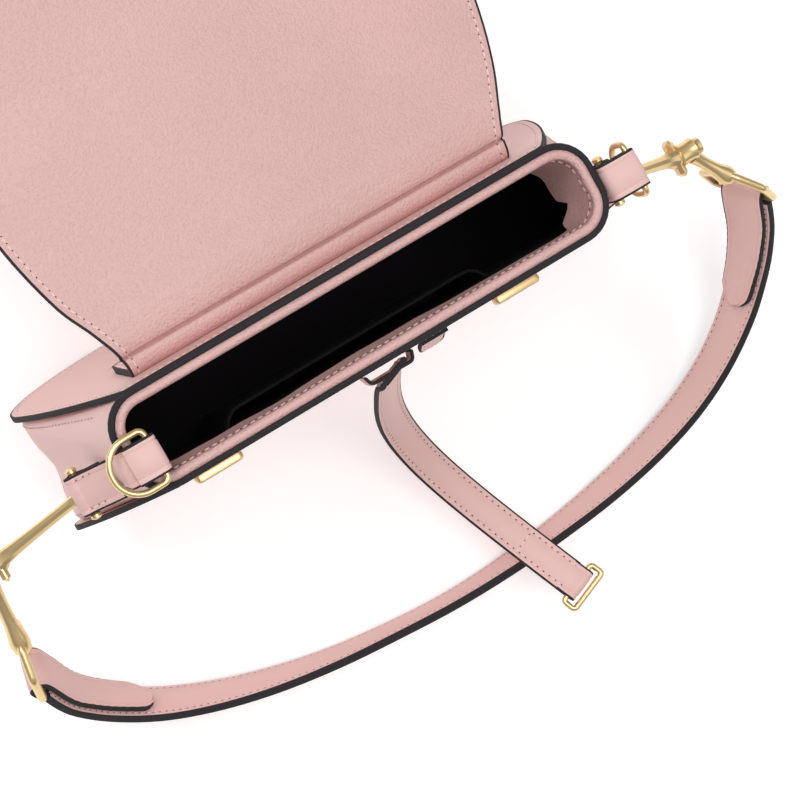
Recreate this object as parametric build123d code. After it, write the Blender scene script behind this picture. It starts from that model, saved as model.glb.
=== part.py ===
"""Crossbody purse with a fold-over flap, a shoulder strap on side rods and a closing strap.

Frame: X runs along the bag, -Y is its front, +Z is up, and Z = 0 is what the bag stands on.
The flap lies open behind the bag, and the shoulder strap lies in front of it.
"""
from build123d import *
import os
from math import atan2, cos, degrees, hypot, radians, sin

os.makedirs("parts", exist_ok=True)

# ---- driving sizes, mm -------------------------------------------------------------------------
WALL_TOP = 166.0            # top of the panels and the gusset, under the rim
BASE_HALF_DEPTH = 31.0      # outer face of a panel at the base
LEAN = 0.0595               # how much a panel leans inwards for each mm of height
PANEL = 2.4                 # outer leather panel
BOARD = 2.0                 # stiff board and gusset
LINING = 0.8
LINING_GAP = 0.4
LINING_BOTTOM = 4.6         # the base board lies under it
BASE_HALF_LENGTH = 78.0

# height, half length and corner radius of the body between the two panels
BODY_SECTIONS = [
    (0.0, 74.0, 3.0), (5.0, 88.0, 3.0), (14.0, 103.0, 3.0), (30.0, 117.0, 3.0), (48.0, 124.5, 3.5),
    (68.0, 126.5, 4.5), (92.0, 124.0, 7.0), (120.0, 118.5, 10.5), (146.0, 113.0, 13.5),
    (WALL_TOP, 109.0, 15.0),
]

RIM_HALF_LENGTH = 109.8
RIM_CORNER = 16.0
RIM_TOP = 170.0
PIPING = 3.2
BINDING = 3.0
BINDING_TOP = 169.6
FACING_BOTTOM = 140.0
FACING = 1.2

FLAP_HINGE = (28.0, 150.0)  # y and z of the fold where the flap leaves the back panel
NECK_LENGTH = 31.0
BRIDGE_LENGTH = 76.0
FRONT_LENGTH = 116.0
FLAP_OUTER = 1.6
FLAP_LINING = 1.4
FOLD_GAP = {"outer": 0.2, "lining": 1.9}  # from each layer to a fold line; the lining is inside
# distance from the first fold and half width of the flap
FLAP_SIDE = [(0.0, 88.0), (15.0, 93.0), (31.0, 100.0), (55.0, 106.0), (80.0, 109.0), (107.0, 110.0)]

# distance from the last fold and half width of the front's lower part
FLAP_LOWER = [(30.0, 114.5), (62.0, 111.0), (92.0, 88.0), (109.0, 48.0)]

RING_WIRE = 1.3             # radius of the D-ring wire
RING_HALF_WIDTH = 11.0
RING_REACH = 18.5
RING_CORNER = 2.6
TAB_HALF_WIDTH = 8.0
TAB_Y = -5.0
LEFT_TAB_HINGE = (-110.0, 171.6)
RIGHT_TAB_HINGE = (111.0, 171.6)
LEFT_BAR = (-98.0, 174.2)   # x and z of the straight bar of each D-ring
RIGHT_BAR = (123.6, 170.6)

LOOP_PIN = (125.0, -8.0, 132.0)
PIN_RADIUS = 2.2
PIN_LENGTH = 23.0
LOOP_HALF_WIDTH = 8.5
ROD_RADIUS = 2.8
SWIVEL = (170.0, -17.0, 104.0)  # where the shoulder strap turns on the end of a side rod
SWIVEL_RADIUS = 2.4
COLLAR_RADIUS = 5.0
SWIVEL_GAP = 0.25
HEAD_OFFSET = 7.6           # from the swivel to the head that keeps the collar on its post
HEAD_RADIUS = 3.6
HEAD_LENGTH = 2.4
COLLAR_OFFSET = 1.7
COLLAR_LENGTH = 8.4
LINK_RADIUS = 2.6
LINK_EYE = 4.2              # radius of the ball that the strap's ring passes through

STRAP_WIDTH = 24.0
STRAP_THICKNESS = 4.0
# x, y and height of the strap's middle line, and its lean away from upright in degrees
STRAP_ROUTE = [
    (199.0, -51.0, 73.0, 24.0), (199.5, -66.0, 59.5, 22.0), (195.0, -83.0, 45.0, 20.0),
    (184.0, -101.0, 32.0, 19.0), (167.0, -117.0, 22.0, 19.0), (146.0, -129.0, 15.5, 20.0),
    (121.0, -137.5, 12.3, 18.0), (93.0, -143.0, 12.3, 14.0), (64.0, -146.5, 12.3, 9.0),
    (34.0, -148.5, 12.3, 5.0), (4.0, -148.5, 12.3, 3.0), (-26.0, -146.0, 12.3, 4.0),
    (-56.0, -142.0, 12.3, 8.0), (-85.0, -135.5, 13.5, 14.0), (-111.0, -126.5, 17.5, 20.0),
    (-134.0, -115.0, 25.0, 25.0), (-153.0, -101.0, 36.0, 28.0), (-166.0, -86.5, 50.0, 29.0),
    (-173.0, -71.0, 65.0, 29.0),
]
RETURN_STATIONS = 3         # route points that a folded-back strap end covers
RETURN_WIDTH = 20.0
RETURN_THICKNESS = 2.6
RETURN_GAP = 0.7
FOLD_RADIUS = 5.0           # outer radius where the strap folds round its ring's bar
BAR_OFFSET = 3.6            # from the end of the route to that bar
STRAP_RING_WIRE = 1.9
RING_HALF_BAR = 14.6
RING_HALF_TIP = 5.0
RING_LENGTH = 27.0
RING_TAPER = 9.0            # length over which the ring narrows towards its link
RING_BEND = 4.0

CLOSURE_HALF_WIDTH = 8.2
CLOSURE_THICKNESS = 2.6
CLOSURE_YAW = radians(21.0)
CLOSURE_ROOT = (0.0, -27.6)
# distance out from the front and height of the closing strap's middle line
CLOSURE_UPPER = [(0.0, 151.0), (3.0, 140.0), (8.0, 124.0), (14.5, 104.0), (22.0, 84.0), (30.5, 66.0)]
CLOSURE_LOWER = [
    (30.9, 65.1), (42.0, 49.0), (57.0, 36.0), (74.0, 29.5), (93.0, 28.5), (112.0, 31.0),
    (130.0, 35.0), (147.0, 39.5),
]
CLASP_HALF_WIDTH = 10.5
CLASP_REACH = 8.0
CLASP_WIRE = 1.4
CLASP_GAP = 0.3

POCKET_DEPTH = 7.0          # how far the slip pocket stands off the front lining
POCKET_HALF_LENGTH = 62.0
POCKET_BOTTOM = 40.0
POCKET_TOP = 122.0
ZIP_HEIGHT = 127.0
ZIP_HALF_LENGTH = 72.0
SLIDER_X = 28.0


def wall_y(z, inset=0.0):
    """Half depth of the body at height z, inside the outer face of a panel by inset."""
    return BASE_HALF_DEPTH - LEAN * z - inset


def save(shape, name):
    export_step(shape, f"parts/{name}.step")


def rounded_section(z, half_x, half_y, radius):
    """A rounded rectangle at height z."""
    return Plane.XY.offset(z) * RectangleRounded(2 * half_x, 2 * half_y, radius)


def body_solid(inset, low, high):
    """The space inside the panels, inset from its outer surface and cut off at low and high."""
    sections = [
        rounded_section(z, half_x - inset, wall_y(z, PANEL + inset), max(radius - inset, 1.0))
        for z, half_x, radius in BODY_SECTIONS
    ]
    solid = loft(sections, ruled=True)
    keep = Pos(0, 0, (low + high) / 2) * Box(400, 200, high - low)
    return solid & keep


def wall_slab(side, out_low, out_high):
    """A slab that leans with the panel on one side (-1 front, 1 back), from out_low to out_high."""
    top = 200.0
    outline = Polyline(
        (side * (wall_y(0) + out_low), 0), (side * (wall_y(top) + out_low), top),
        (side * (wall_y(top) + out_high), top), (side * (wall_y(0) + out_high), 0), close=True,
    )
    return extrude(Plane.YZ.offset(-200) * make_face(outline), 400)


def panel_outline():
    """The front view of a panel, wide at mid height, with round lower corners."""
    edges = [
        Line((BASE_HALF_LENGTH, 0), (-BASE_HALF_LENGTH, 0)),
        Line((-96, WALL_TOP), (96, WALL_TOP)),
        ThreePointArc((96, WALL_TOP), (115.5, 118), (128.5, 66)),
        ThreePointArc((128.5, 66), (116.5, 23), (BASE_HALF_LENGTH, 0)),
        ThreePointArc((-96, WALL_TOP), (-115.5, 118), (-128.5, 66)),
        ThreePointArc((-128.5, 66), (-116.5, 23), (-BASE_HALF_LENGTH, 0)),
    ]
    return make_face(edges)


def panel(side):
    prism = extrude(Plane.XZ.offset(-60) * panel_outline(), 120)
    return prism & wall_slab(side, -PANEL, 0)


def ring_band(half_x, half_y, radius, width, low, high, soften=0.0):
    """A rounded rectangular band with a given width, standing from low to high."""
    outer = extrude(rounded_section(low, half_x, half_y, radius), high - low)
    hole = extrude(
        rounded_section(low - 1, half_x - width, half_y - width, max(radius - width, 1.0)),
        high - low + 2,
    )
    band = outer - hole
    if soften:
        band = fillet(band.edges().group_by(Axis.Z)[-1], soften)
    return band


def ribbon(points, width_directions, thickness_directions, width, thickness):
    """A flat strap through points, as straight runs between upright sections."""
    sections = []
    for point, across, through in zip(points, width_directions, thickness_directions):
        half_across = across * (width / 2)
        half_through = through * (thickness / 2)
        corners = [
            point + half_across + half_through, point - half_across + half_through,
            point - half_across - half_through, point + half_across - half_through,
        ]
        sections.append(make_face(Polyline(*corners, close=True)))
    return loft(sections, ruled=True)


def route_directions(points):
    """The direction of travel at each point of a list."""
    last = len(points) - 1
    return [
        (points[min(n + 1, last)] - points[max(n - 1, 0)]).normalized() for n in range(last + 1)
    ]


def strap_directions(along, lean):
    """Across the strap, and level away from the bag, where the route runs from right to left."""
    outside = Vector(-along.Y, along.X, 0).normalized()
    upright = outside.cross(along).normalized()
    upright = upright if upright.Z > 0 else upright * -1
    return upright * cos(radians(lean)) + outside * sin(radians(lean)), outside


def shoulder_ribbon(stations, width, thickness, outward):
    """A ribbon on the strap's route, moved outward from its middle line through its thickness."""
    middle = [Vector(x, y, z) for x, y, z, lean in stations]
    travel = route_directions(middle)
    points, across, through = [], [], []
    for point, along, (x, y, z, lean) in zip(middle, travel, stations):
        leaned, outside = strap_directions(along, lean)
        normal = along.cross(leaned).normalized()
        normal = normal if normal.dot(outside) > 0 else normal * -1
        points.append(point + normal * outward)
        across.append(leaned)
        through.append(normal)
    return ribbon(points, across, through, width, thickness)


def closure_point(out, z, sideways=0.0):
    """A point of the closing strap, from its distance out from the bag's front."""
    x = CLOSURE_ROOT[0] + out * sin(CLOSURE_YAW) + sideways * cos(CLOSURE_YAW)
    y = CLOSURE_ROOT[1] - out * cos(CLOSURE_YAW) + sideways * sin(CLOSURE_YAW)
    return Vector(x, y, z)


def closure_ribbon(profile):
    points = [closure_point(out, z) for out, z in profile]
    across = Vector(cos(CLOSURE_YAW), sin(CLOSURE_YAW), 0)
    through = [along.cross(across).normalized() for along in route_directions(points)]
    return ribbon(
        points, [across] * len(points), through, 2 * CLOSURE_HALF_WIDTH, CLOSURE_THICKNESS
    )


def rod_between(start, end, radius):
    """A round rod from one point to another."""
    start, end = Vector(*start), Vector(*end)
    along = end - start
    return extrude(Plane(origin=start, z_dir=along) * Circle(radius), along.length)


def closed_wire(points, corner, radius):
    """Round wire bent into a closed frame, with one corner radius or a list of them."""
    path = FilletPolyline(*points, radius=corner, close=True)
    return sweep(Plane(origin=path @ 0, z_dir=path % 0) * Circle(radius), path=path)


def mirrored(shape):
    return shape.mirror(Plane.YZ)


# ---- body --------------------------------------------------------------------------------------
def make_body():
    outer = body_solid(0, 0, WALL_TOP)
    shell = outer - body_solid(BOARD, BOARD, WALL_TOP + 1)
    middle = Pos(0, 0, 4 + WALL_TOP / 2) * Box(2 * 72, 200, WALL_TOP)
    front_half = Pos(0, -50, 100) * Box(400, 100, 300)
    magnet_place = Pos(0, -wall_y(96, PANEL), 96) * Rot(90 - degrees(atan2(LEAN, 1)), 0, 0)
    magnet_recess = magnet_place * Cylinder(8.2, 2.4)
    boards = shell & middle
    front_board = (boards & front_half) - magnet_recess
    save(panel(-1), "front_panel")
    save(panel(1), "back_panel")
    save(shell - middle, "gusset")
    save(front_board, "front_board")
    save(boards - front_half, "back_board")
    save(magnet_place * Pos(0, 0, -0.6) * Cylinder(8.0, 1.0), "body_magnet")

    space = BOARD + LINING_GAP
    bag = body_solid(space, LINING_BOTTOM, FACING_BOTTOM - 0.5)
    hollow = body_solid(space + LINING, LINING_BOTTOM + LINING, WALL_TOP)
    save(bag - hollow, "lining")
    facing = body_solid(BOARD + 0.1, FACING_BOTTOM, WALL_TOP)
    save(facing - body_solid(BOARD + 0.1 + FACING, FACING_BOTTOM - 1, WALL_TOP + 1), "rim_facing")
    save(Pos(0, 0, BOARD + 1.2) * Box(140, 2 * wall_y(0, PANEL + 4), 2.0), "base_board")


def make_rim():
    half_depth = wall_y(WALL_TOP)
    piping = ring_band(
        RIM_HALF_LENGTH, half_depth, RIM_CORNER, PIPING, WALL_TOP, RIM_TOP, 1.3
    )
    binding = ring_band(
        RIM_HALF_LENGTH - PIPING, half_depth - PIPING, RIM_CORNER - PIPING, BINDING,
        WALL_TOP, BINDING_TOP, 1.2,
    )
    save(piping, "rim_piping")
    save(binding, "rim_binding")


def inner_wall(side, half_x, low, high, near, far):
    """A plate inside the bag, parallel to a panel, from near to far off the lining's inner face."""
    lining_face = PANEL + BOARD + LINING_GAP + LINING
    plate = Pos(0, 0, (low + high) / 2) * Box(2 * half_x, 200, high - low)
    return plate & wall_slab(side, -lining_face - far, -lining_face - near)


def make_pockets():
    deep, low, high = POCKET_DEPTH, POCKET_BOTTOM, POCKET_TOP
    skin = 1.0
    pocket = inner_wall(-1, POCKET_HALF_LENGTH, low, high, deep, deep + skin)
    for end in (-1, 1):
        edge = inner_wall(-1, skin / 2, low, high, 0, deep + skin)
        pocket += Pos(end * (POCKET_HALF_LENGTH + skin / 2), 0, 0) * edge
    pocket += inner_wall(-1, POCKET_HALF_LENGTH + skin, low - skin, low, 0, deep + skin)
    save(pocket, "slip_pocket")
    trim = inner_wall(-1, POCKET_HALF_LENGTH, high + 0.1, high + 3.0, deep - 0.4, deep + 1.4)
    save(trim, "slip_pocket_trim")
    save(inner_wall(1, ZIP_HALF_LENGTH, ZIP_HEIGHT - 8, ZIP_HEIGHT + 8, 0.05, 0.75), "zip_tape")
    teeth = [
        inner_wall(1, ZIP_HALF_LENGTH - 3, ZIP_HEIGHT + low, ZIP_HEIGHT + low + 1.3, 0.8, 1.7)
        for low in (-1.5, 0.2)
    ]
    save(Compound(children=teeth), "zip_teeth")
    face = wall_y(ZIP_HEIGHT, PANEL + BOARD + LINING_GAP + LINING)
    slider = Pos(SLIDER_X, face - 3.4, ZIP_HEIGHT) * Box(9, 2.2, 6.5)
    slider = fillet(slider.edges().filter_by(Axis.Y), 1.2)
    bail_y = face - 5.9
    for end in (-1, 1):
        slider += Pos(SLIDER_X + end * 2.2, face - 5.5, ZIP_HEIGHT) * Box(1.0, 2.4, 3.2)
    hole = Pos(SLIDER_X, bail_y, ZIP_HEIGHT) * Rot(0, 90, 0) * Cylinder(0.75, 8)
    save(slider - hole, "zip_slider")
    pin = Pos(SLIDER_X, bail_y, ZIP_HEIGHT) * Rot(0, 90, 0) * Cylinder(0.5, 6.0)
    stem = Pos(SLIDER_X, bail_y, ZIP_HEIGHT - 3.0) * Box(2.2, 1.0, 6.0)
    ring = Pos(SLIDER_X, bail_y, ZIP_HEIGHT - 9.6) * Rot(90, 0, 0) * Torus(4.2, 0.9)
    save(pin + stem + ring, "zip_puller")


# ---- front of the body -------------------------------------------------------------------------
def make_front():
    strap_gap = CLOSURE_THICKNESS + 0.8
    keeper = Pos(0, 0, 156) * Box(21.5, 200, 9) & wall_slab(-1, 0, strap_gap + 2.2)
    keeper -= Pos(0, 0, 156) * Box(18.4, 200, 12) & wall_slab(-1, 0, strap_gap)
    save(keeper, "strap_keeper")

    root = Pos(0, 0, 156.8) * Box(2 * CLOSURE_HALF_WIDTH, 200, 8.6)
    save(root & wall_slab(-1, 0.4, 0.4 + CLOSURE_THICKNESS), "closure_strap_root")

    tongue = Plane.XZ * (
        Pos(21.5, 156) * Rectangle(12, 10) + Pos(21.5, 151) * Circle(6)
    )
    save(extrude(tongue, 60, both=True) & wall_slab(-1, 0.1, 2.0), "front_tongue")
    for name, side in (("left", -1), ("right", 1)):
        bar = Pos(side * 72, 0, 118) * Box(22, 200, 6) & wall_slab(-1, 0.6, 7.0)
        bar = fillet(bar.edges().filter_by(Axis.X), 1.4)
        posts = [Pos(side * 72 + x, 0, 118) * Box(4, 200, 4) for x in (-7, 7)]
        for post in posts:
            bar += post & wall_slab(-1, 0.0, 1.0)
        save(bar, f"{name}_front_bar")


# ---- flap --------------------------------------------------------------------------------------
def flap_outline():
    """The open flap seen from above: distance behind the first fold as Y."""
    hinge_y = FLAP_HINGE[0]
    total = NECK_LENGTH + BRIDGE_LENGTH + FRONT_LENGTH
    side = [(half, hinge_y + out) for out, half in FLAP_SIDE]
    fold_y = side[-1][1]
    end_y = hinge_y + total
    lower = [(half, fold_y + out) for out, half in FLAP_LOWER]
    right = side[-1:] + lower
    rim = right + [(0, end_y)] + [(-half, y) for half, y in reversed(right)]
    edges = [
        Line(side[0], (-side[0][0], side[0][1])),
        *Polyline(*side).edges(),
        *Polyline(*[(-half, y) for half, y in side]).edges(),
        Spline(*rim),
    ]
    return make_face(edges)


def make_flap():
    hinge_y, hinge_z = FLAP_HINGE
    anchor = Pos(0, 0, 124) * Box(176, 200, 46) & wall_slab(1, 0, FLAP_OUTER)
    save(anchor, "flap_anchor")
    outline = flap_outline()
    thickness = FLAP_OUTER + FLAP_LINING
    low = hinge_z - thickness / 2
    layers = {
        "outer": extrude(Plane.XY.offset(low) * outline, FLAP_OUTER),
        "lining": extrude(Plane.XY.offset(low + FLAP_OUTER) * outline, FLAP_LINING),
    }
    neck_end = hinge_y + NECK_LENGTH
    bridge_end = neck_end + BRIDGE_LENGTH
    spans = {
        "flap_neck": (hinge_y, neck_end),
        "flap_bridge": (neck_end, bridge_end),
        "flap_front": (bridge_end, bridge_end + FRONT_LENGTH + 5),
    }
    magnet_spot = Pos(0, bridge_end + 86, low + FLAP_OUTER - 0.55)
    for part, (start, end) in spans.items():
        for layer, sheet in layers.items():
            length = end - start - 2 * FOLD_GAP[layer]
            piece = sheet & Pos(0, (start + end) / 2, hinge_z) * Box(400, length, 20)
            if part == "flap_front" and layer == "outer":
                piece -= magnet_spot * Cylinder(8.2, 1.1)
            save(piece, f"{part}_{layer}")
    save(magnet_spot * Cylinder(8.0, 0.9), "flap_magnet")


# ---- D-rings and their tabs --------------------------------------------------------------------
def d_ring(bar, toward):
    """A D-ring on a bar along Y, reaching toward a direction in X and Z."""
    start = Vector(bar[0], TAB_Y, bar[1])
    across = Vector(0, RING_HALF_WIDTH, 0)
    reach = toward.normalized() * RING_REACH
    corners = [start + across, start + across + reach, start - across + reach, start - across]
    bow = RING_HALF_WIDTH - 0.4
    return closed_wire(corners, [RING_CORNER, bow, bow, RING_CORNER], RING_WIRE)


def box_between(low, high):
    low, high = Vector(*low), Vector(*high)
    size = high - low
    return Pos(*((low + high) / 2)) * Box(size.X, size.Y, size.Z)


def make_tab(hinge, bar, side, name):
    """The moving leather tab: a flat part from the rim and a round fold over the ring's bar."""
    sleeve = RING_WIRE + 0.3
    y_low, y_high = TAB_Y - TAB_HALF_WIDTH, TAB_Y + TAB_HALF_WIDTH
    fold = Pos(bar[0], TAB_Y, bar[1]) * Rot(90, 0, 0) * Cylinder(sleeve + 1.5, 2 * TAB_HALF_WIDTH)
    inner, outer = sorted((hinge[0] - side * 0.4, bar[0]))
    plate = box_between((inner, y_low, hinge[1] - 0.9), (outer, y_high, hinge[1] + 0.9))
    hole = Pos(bar[0], TAB_Y, bar[1]) * Rot(90, 0, 0) * Cylinder(sleeve, 40)
    save(fold + plate - hole, name)


def make_rings():
    make_tab(LEFT_TAB_HINGE, LEFT_BAR, -1, "left_ring_tab")
    make_tab(RIGHT_TAB_HINGE, RIGHT_BAR, 1, "right_ring_tab")
    save(d_ring(LEFT_BAR, Vector(-1, 0, 0.03)), "left_d_ring")
    save(d_ring(RIGHT_BAR, Vector(0, 0, -1)), "right_d_ring")
    y_low, y_high = TAB_Y - TAB_HALF_WIDTH, TAB_Y + TAB_HALF_WIDTH
    anchor = box_between((RIM_HALF_LENGTH + 0.3, y_low, 151.0), (RIM_HALF_LENGTH + 1.9, y_high, 170.2))
    anchor -= body_solid(-0.05, 0, WALL_TOP)
    save(anchor, "right_tab_anchor")
    save(mirrored(anchor), "left_tab_anchor")


# ---- side loops, pins and rods -----------------------------------------------------------------
def make_side(side, name):
    x, y, z = LOOP_PIN
    across = Rot(90, 0, 0)
    pin = Pos(x, y, z) * across * Cylinder(PIN_RADIUS, PIN_LENGTH)
    sleeve = Pos(x, y, z) * across * Cylinder(PIN_RADIUS + 2.6, 2 * LOOP_HALF_WIDTH)
    leaf = Plane.XZ.offset(-y) * make_face(Polyline(
        (x - 1.5, z + 2.4), (x - 2.5, z + 4.6), (114.5, 147.5), (112.0, 144.0), (115.0, 138.0),
        (x - 4.6, z - 0.6), close=True,
    ))
    loop = sleeve + extrude(leaf, LOOP_HALF_WIDTH, both=True)
    swivel = Vector(*SWIVEL)
    rod_end = swivel - Vector(4.0, 0, 0)
    rod = rod_between(LOOP_PIN, rod_end, ROD_RADIUS)
    inwards = (Vector(*LOOP_PIN) - rod_end).normalized()
    passage = rod_between(Vector(*LOOP_PIN) + inwards, rod_end, ROD_RADIUS + 0.4)
    loop -= Pos(x, y, z) * across * Cylinder(PIN_RADIUS + 0.05, 60)
    loop -= passage
    loop -= body_solid(-0.05, 0, WALL_TOP)
    rod -= Pos(x, y, z) * across * Cylinder(PIN_RADIUS + 0.02, 60)
    flange = Pos(swivel.X - 4.5, swivel.Y, swivel.Z) * Box(3.0, 15.0, 6.5)
    flange = fillet(flange.edges().filter_by(Axis.X), 2.4)
    post = Pos(swivel.X + 1.5, swivel.Y, swivel.Z) * Rot(0, 90, 0) * Cylinder(SWIVEL_RADIUS, 10.0)
    head = Pos(swivel.X + HEAD_OFFSET, swivel.Y, swivel.Z) * Rot(0, 90, 0)
    head *= Cylinder(HEAD_RADIUS, HEAD_LENGTH)
    rod = rod + flange + post + head
    for shape, node in ((loop, "side_loop"), (pin, "loop_pin"), (rod, "side_rod")):
        save(shape if side > 0 else mirrored(shape), f"{name}_{node}")


# ---- shoulder strap ----------------------------------------------------------------------------
def strap_bar(side):
    """The bar that a strap end folds round: its middle, and the direction along it."""
    route = STRAP_ROUTE if side > 0 else STRAP_ROUTE[::-1]
    end, neighbour = Vector(*route[0][:3]), Vector(*route[1][:3])
    away = (end - neighbour).normalized()
    across, outside = strap_directions(away * -side, route[0][3])
    return end + away * BAR_OFFSET, across.normalized()


def make_strap_hardware(side, name):
    """The ring that holds one end of the strap, and its link with a collar on the side rod."""
    swivel = Vector(side * SWIVEL[0], SWIVEL[1], SWIVEL[2])
    bar_middle, across = strap_bar(side)
    far = (swivel - bar_middle).normalized()
    far = (far - across * far.dot(across)).normalized()
    shoulder = far * (RING_LENGTH - RING_TAPER)
    top = bar_middle + far * RING_LENGTH
    half, tip = across * RING_HALF_BAR, across * RING_HALF_TIP
    corners = [
        bar_middle + half, bar_middle + half + shoulder, top + tip,
        top - tip, bar_middle - half + shoulder, bar_middle - half,
    ]
    save(closed_wire(corners, RING_BEND, STRAP_RING_WIRE), f"{name}_strap_ring")

    crosswise = Rot(0, 90, 0)
    head = Pos(swivel.X + side * HEAD_OFFSET, swivel.Y, swivel.Z) * crosswise
    collar_middle = Vector(swivel.X + side * COLLAR_OFFSET, swivel.Y, swivel.Z)
    collar = Pos(*collar_middle) * crosswise * Cylinder(COLLAR_RADIUS, COLLAR_LENGTH)
    link = collar + rod_between(collar_middle, top, LINK_RADIUS) + Pos(*top) * Sphere(LINK_EYE)
    link -= Pos(*swivel) * crosswise * Cylinder(SWIVEL_RADIUS + SWIVEL_GAP, 30)
    link -= head * Cylinder(HEAD_RADIUS + 0.4, HEAD_LENGTH + 0.6)
    link -= closed_wire(corners, RING_BEND, STRAP_RING_WIRE + 0.02)
    save(link, f"{name}_strap_link")


def make_strap_end(side, name, strap):
    """The end of the strap folded round the ring's bar and sewn back on the inside."""
    bar_middle, across = strap_bar(side)
    stations = RETURN_STATIONS + 1
    ends = STRAP_ROUTE[:stations] if side > 0 else STRAP_ROUTE[-stations:]
    inside = -(STRAP_THICKNESS + RETURN_THICKNESS) / 2 - RETURN_GAP
    tab = shoulder_ribbon(ends, RETURN_WIDTH, RETURN_THICKNESS, inside)
    half, beyond = across * (RETURN_WIDTH / 2), across * (RETURN_WIDTH / 2 + 2)
    fold = rod_between(bar_middle - half, bar_middle + half, FOLD_RADIUS)
    fold -= rod_between(bar_middle - beyond, bar_middle + beyond, STRAP_RING_WIRE + 0.2)
    save(fold - strap - tab, f"{name}_strap_fold")
    save(tab, f"{name}_strap_return")


def make_shoulder_strap():
    strap = shoulder_ribbon(STRAP_ROUTE, STRAP_WIDTH, STRAP_THICKNESS, 0.0)
    save(strap, "shoulder_strap")
    for side, name in ((-1, "left"), (1, "right")):
        make_strap_hardware(side, name)
        make_strap_end(side, name, strap)


# ---- closing strap -----------------------------------------------------------------------------
def make_closure():
    save(closure_ribbon(CLOSURE_UPPER), "closure_strap_upper")
    out, z = CLOSURE_LOWER[-1]
    before_out, before_z = CLOSURE_LOWER[-2]
    run = hypot(out - before_out, z - before_z)
    step_out, step_z = (out - before_out) / run, (z - before_z) / run
    def beyond(along, sideways):
        return closure_point(out + step_out * along, z + step_z * along, sideways)

    bar_out = CLASP_WIRE + CLASP_GAP
    frame = [
        beyond(bar_out, -CLASP_HALF_WIDTH), beyond(bar_out, CLASP_HALF_WIDTH),
        beyond(CLASP_REACH, CLASP_HALF_WIDTH), beyond(CLASP_REACH, -CLASP_HALF_WIDTH),
    ]
    save(closed_wire(frame, 1.6, CLASP_WIRE), "closure_clasp")
    sleeve_ends = beyond(bar_out, -7.6), beyond(bar_out, 7.6)
    bore_ends = beyond(bar_out, -20), beyond(bar_out, 20)
    lower = closure_ribbon(CLOSURE_LOWER) + rod_between(*sleeve_ends, CLASP_WIRE + 1.7)
    save(lower - rod_between(*bore_ends, CLASP_WIRE + CLASP_GAP), "closure_strap_lower")


make_body()
make_rim()
make_pockets()
make_front()
make_flap()
make_rings()
make_side(-1, "left")
make_side(1, "right")
make_shoulder_strap()
make_closure()
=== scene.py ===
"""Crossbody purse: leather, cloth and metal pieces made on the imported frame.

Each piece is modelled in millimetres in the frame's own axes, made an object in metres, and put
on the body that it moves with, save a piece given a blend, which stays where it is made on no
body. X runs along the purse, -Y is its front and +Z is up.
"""

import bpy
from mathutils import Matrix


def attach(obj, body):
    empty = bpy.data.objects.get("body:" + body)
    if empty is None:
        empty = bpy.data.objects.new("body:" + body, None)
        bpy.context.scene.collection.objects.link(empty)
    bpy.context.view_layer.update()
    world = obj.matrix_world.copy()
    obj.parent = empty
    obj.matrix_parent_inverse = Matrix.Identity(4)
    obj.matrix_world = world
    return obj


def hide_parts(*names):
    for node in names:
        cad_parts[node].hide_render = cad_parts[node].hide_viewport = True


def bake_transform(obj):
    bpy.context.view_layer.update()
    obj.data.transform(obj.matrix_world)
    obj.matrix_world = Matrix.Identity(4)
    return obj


bl_info = {
    "name": "Crossbody Purse",
    "version": (1, 0, 0),
    "blender": (4, 5, 0),
    "location": "3D View > Sidebar > Purse",
    "description": "Makes a flap purse with its straps, rings and rods on a packed frame",
    "category": "Add Mesh",
}

from math import cos, exp, pi, radians, sin, sqrt

import bmesh
import bpy
from bpy.props import FloatProperty, FloatVectorProperty, PointerProperty
from mathutils import Matrix, Vector, noise

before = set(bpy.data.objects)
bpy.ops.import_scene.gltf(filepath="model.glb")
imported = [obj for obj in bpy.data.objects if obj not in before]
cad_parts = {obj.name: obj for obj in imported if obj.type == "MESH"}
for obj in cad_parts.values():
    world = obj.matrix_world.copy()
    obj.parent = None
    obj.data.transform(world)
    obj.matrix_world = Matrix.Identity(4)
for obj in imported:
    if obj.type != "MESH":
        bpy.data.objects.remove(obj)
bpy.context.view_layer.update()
MM = 0.001

# ---- sizes of the frame, mm --------------------------------------------------------------------
WALL_TOP = 166.0
BASE_HALF_DEPTH = 31.0
LEAN = 0.0595
PANEL = 2.4
RIM_HALF_LENGTH = 109.8
RIM_CORNER = 16.0
BODY_SECTIONS = [
    (0.0, 74.0, 3.0), (5.0, 88.0, 3.0), (14.0, 103.0, 3.0), (30.0, 117.0, 3.0), (48.0, 124.5, 3.5),
    (68.0, 126.5, 4.5), (92.0, 124.0, 7.0), (120.0, 118.5, 10.5), (146.0, 113.0, 13.5),
    (166.0, 109.0, 15.0),
]
HINGE_Y, HINGE_Z = 28.0, 150.0
FLAP_THICKNESS = 3.0
SHOULDER_STRAP = (24.0, 4.0)
CLOSING_STRAP = (16.4, 2.6)
FRONT_PLATE = (22.0, 4.2, 6.4)
ROD_FLANGE = (3.6, 17.0, 7.6)
D_RING_WIRE = 1.3
STRAP_RING_WIRE = 1.85
FOLD_TURN = 3.4
SEAM_STRIP = 0.7
FLAP_SIDE = [
    (-48.0, 82.0), (-46.0, 86.0), (-42.0, 88.0), (-20.0, 88.0), (0.0, 88.0), (15.0, 93.0),
    (31.0, 100.0), (55.0, 106.0), (80.0, 109.0), (107.0, 110.0), (137.0, 114.5), (169.0, 111.0),
    (185.0, 101.0), (199.0, 88.0), (209.0, 72.0), (216.0, 48.0), (221.0, 24.0),
]
FLAP_LENGTH = 223.0
BEND_RADIUS = 4.5
BEND = BEND_RADIUS * pi / 2
TAB_Y = -5.0
TAB_HINGES = {"left": (-110.0, 171.6), "right": (111.0, 171.6)}
RING_BARS = {"left": (-98.0, 174.2), "right": (123.6, 170.6)}
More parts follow.
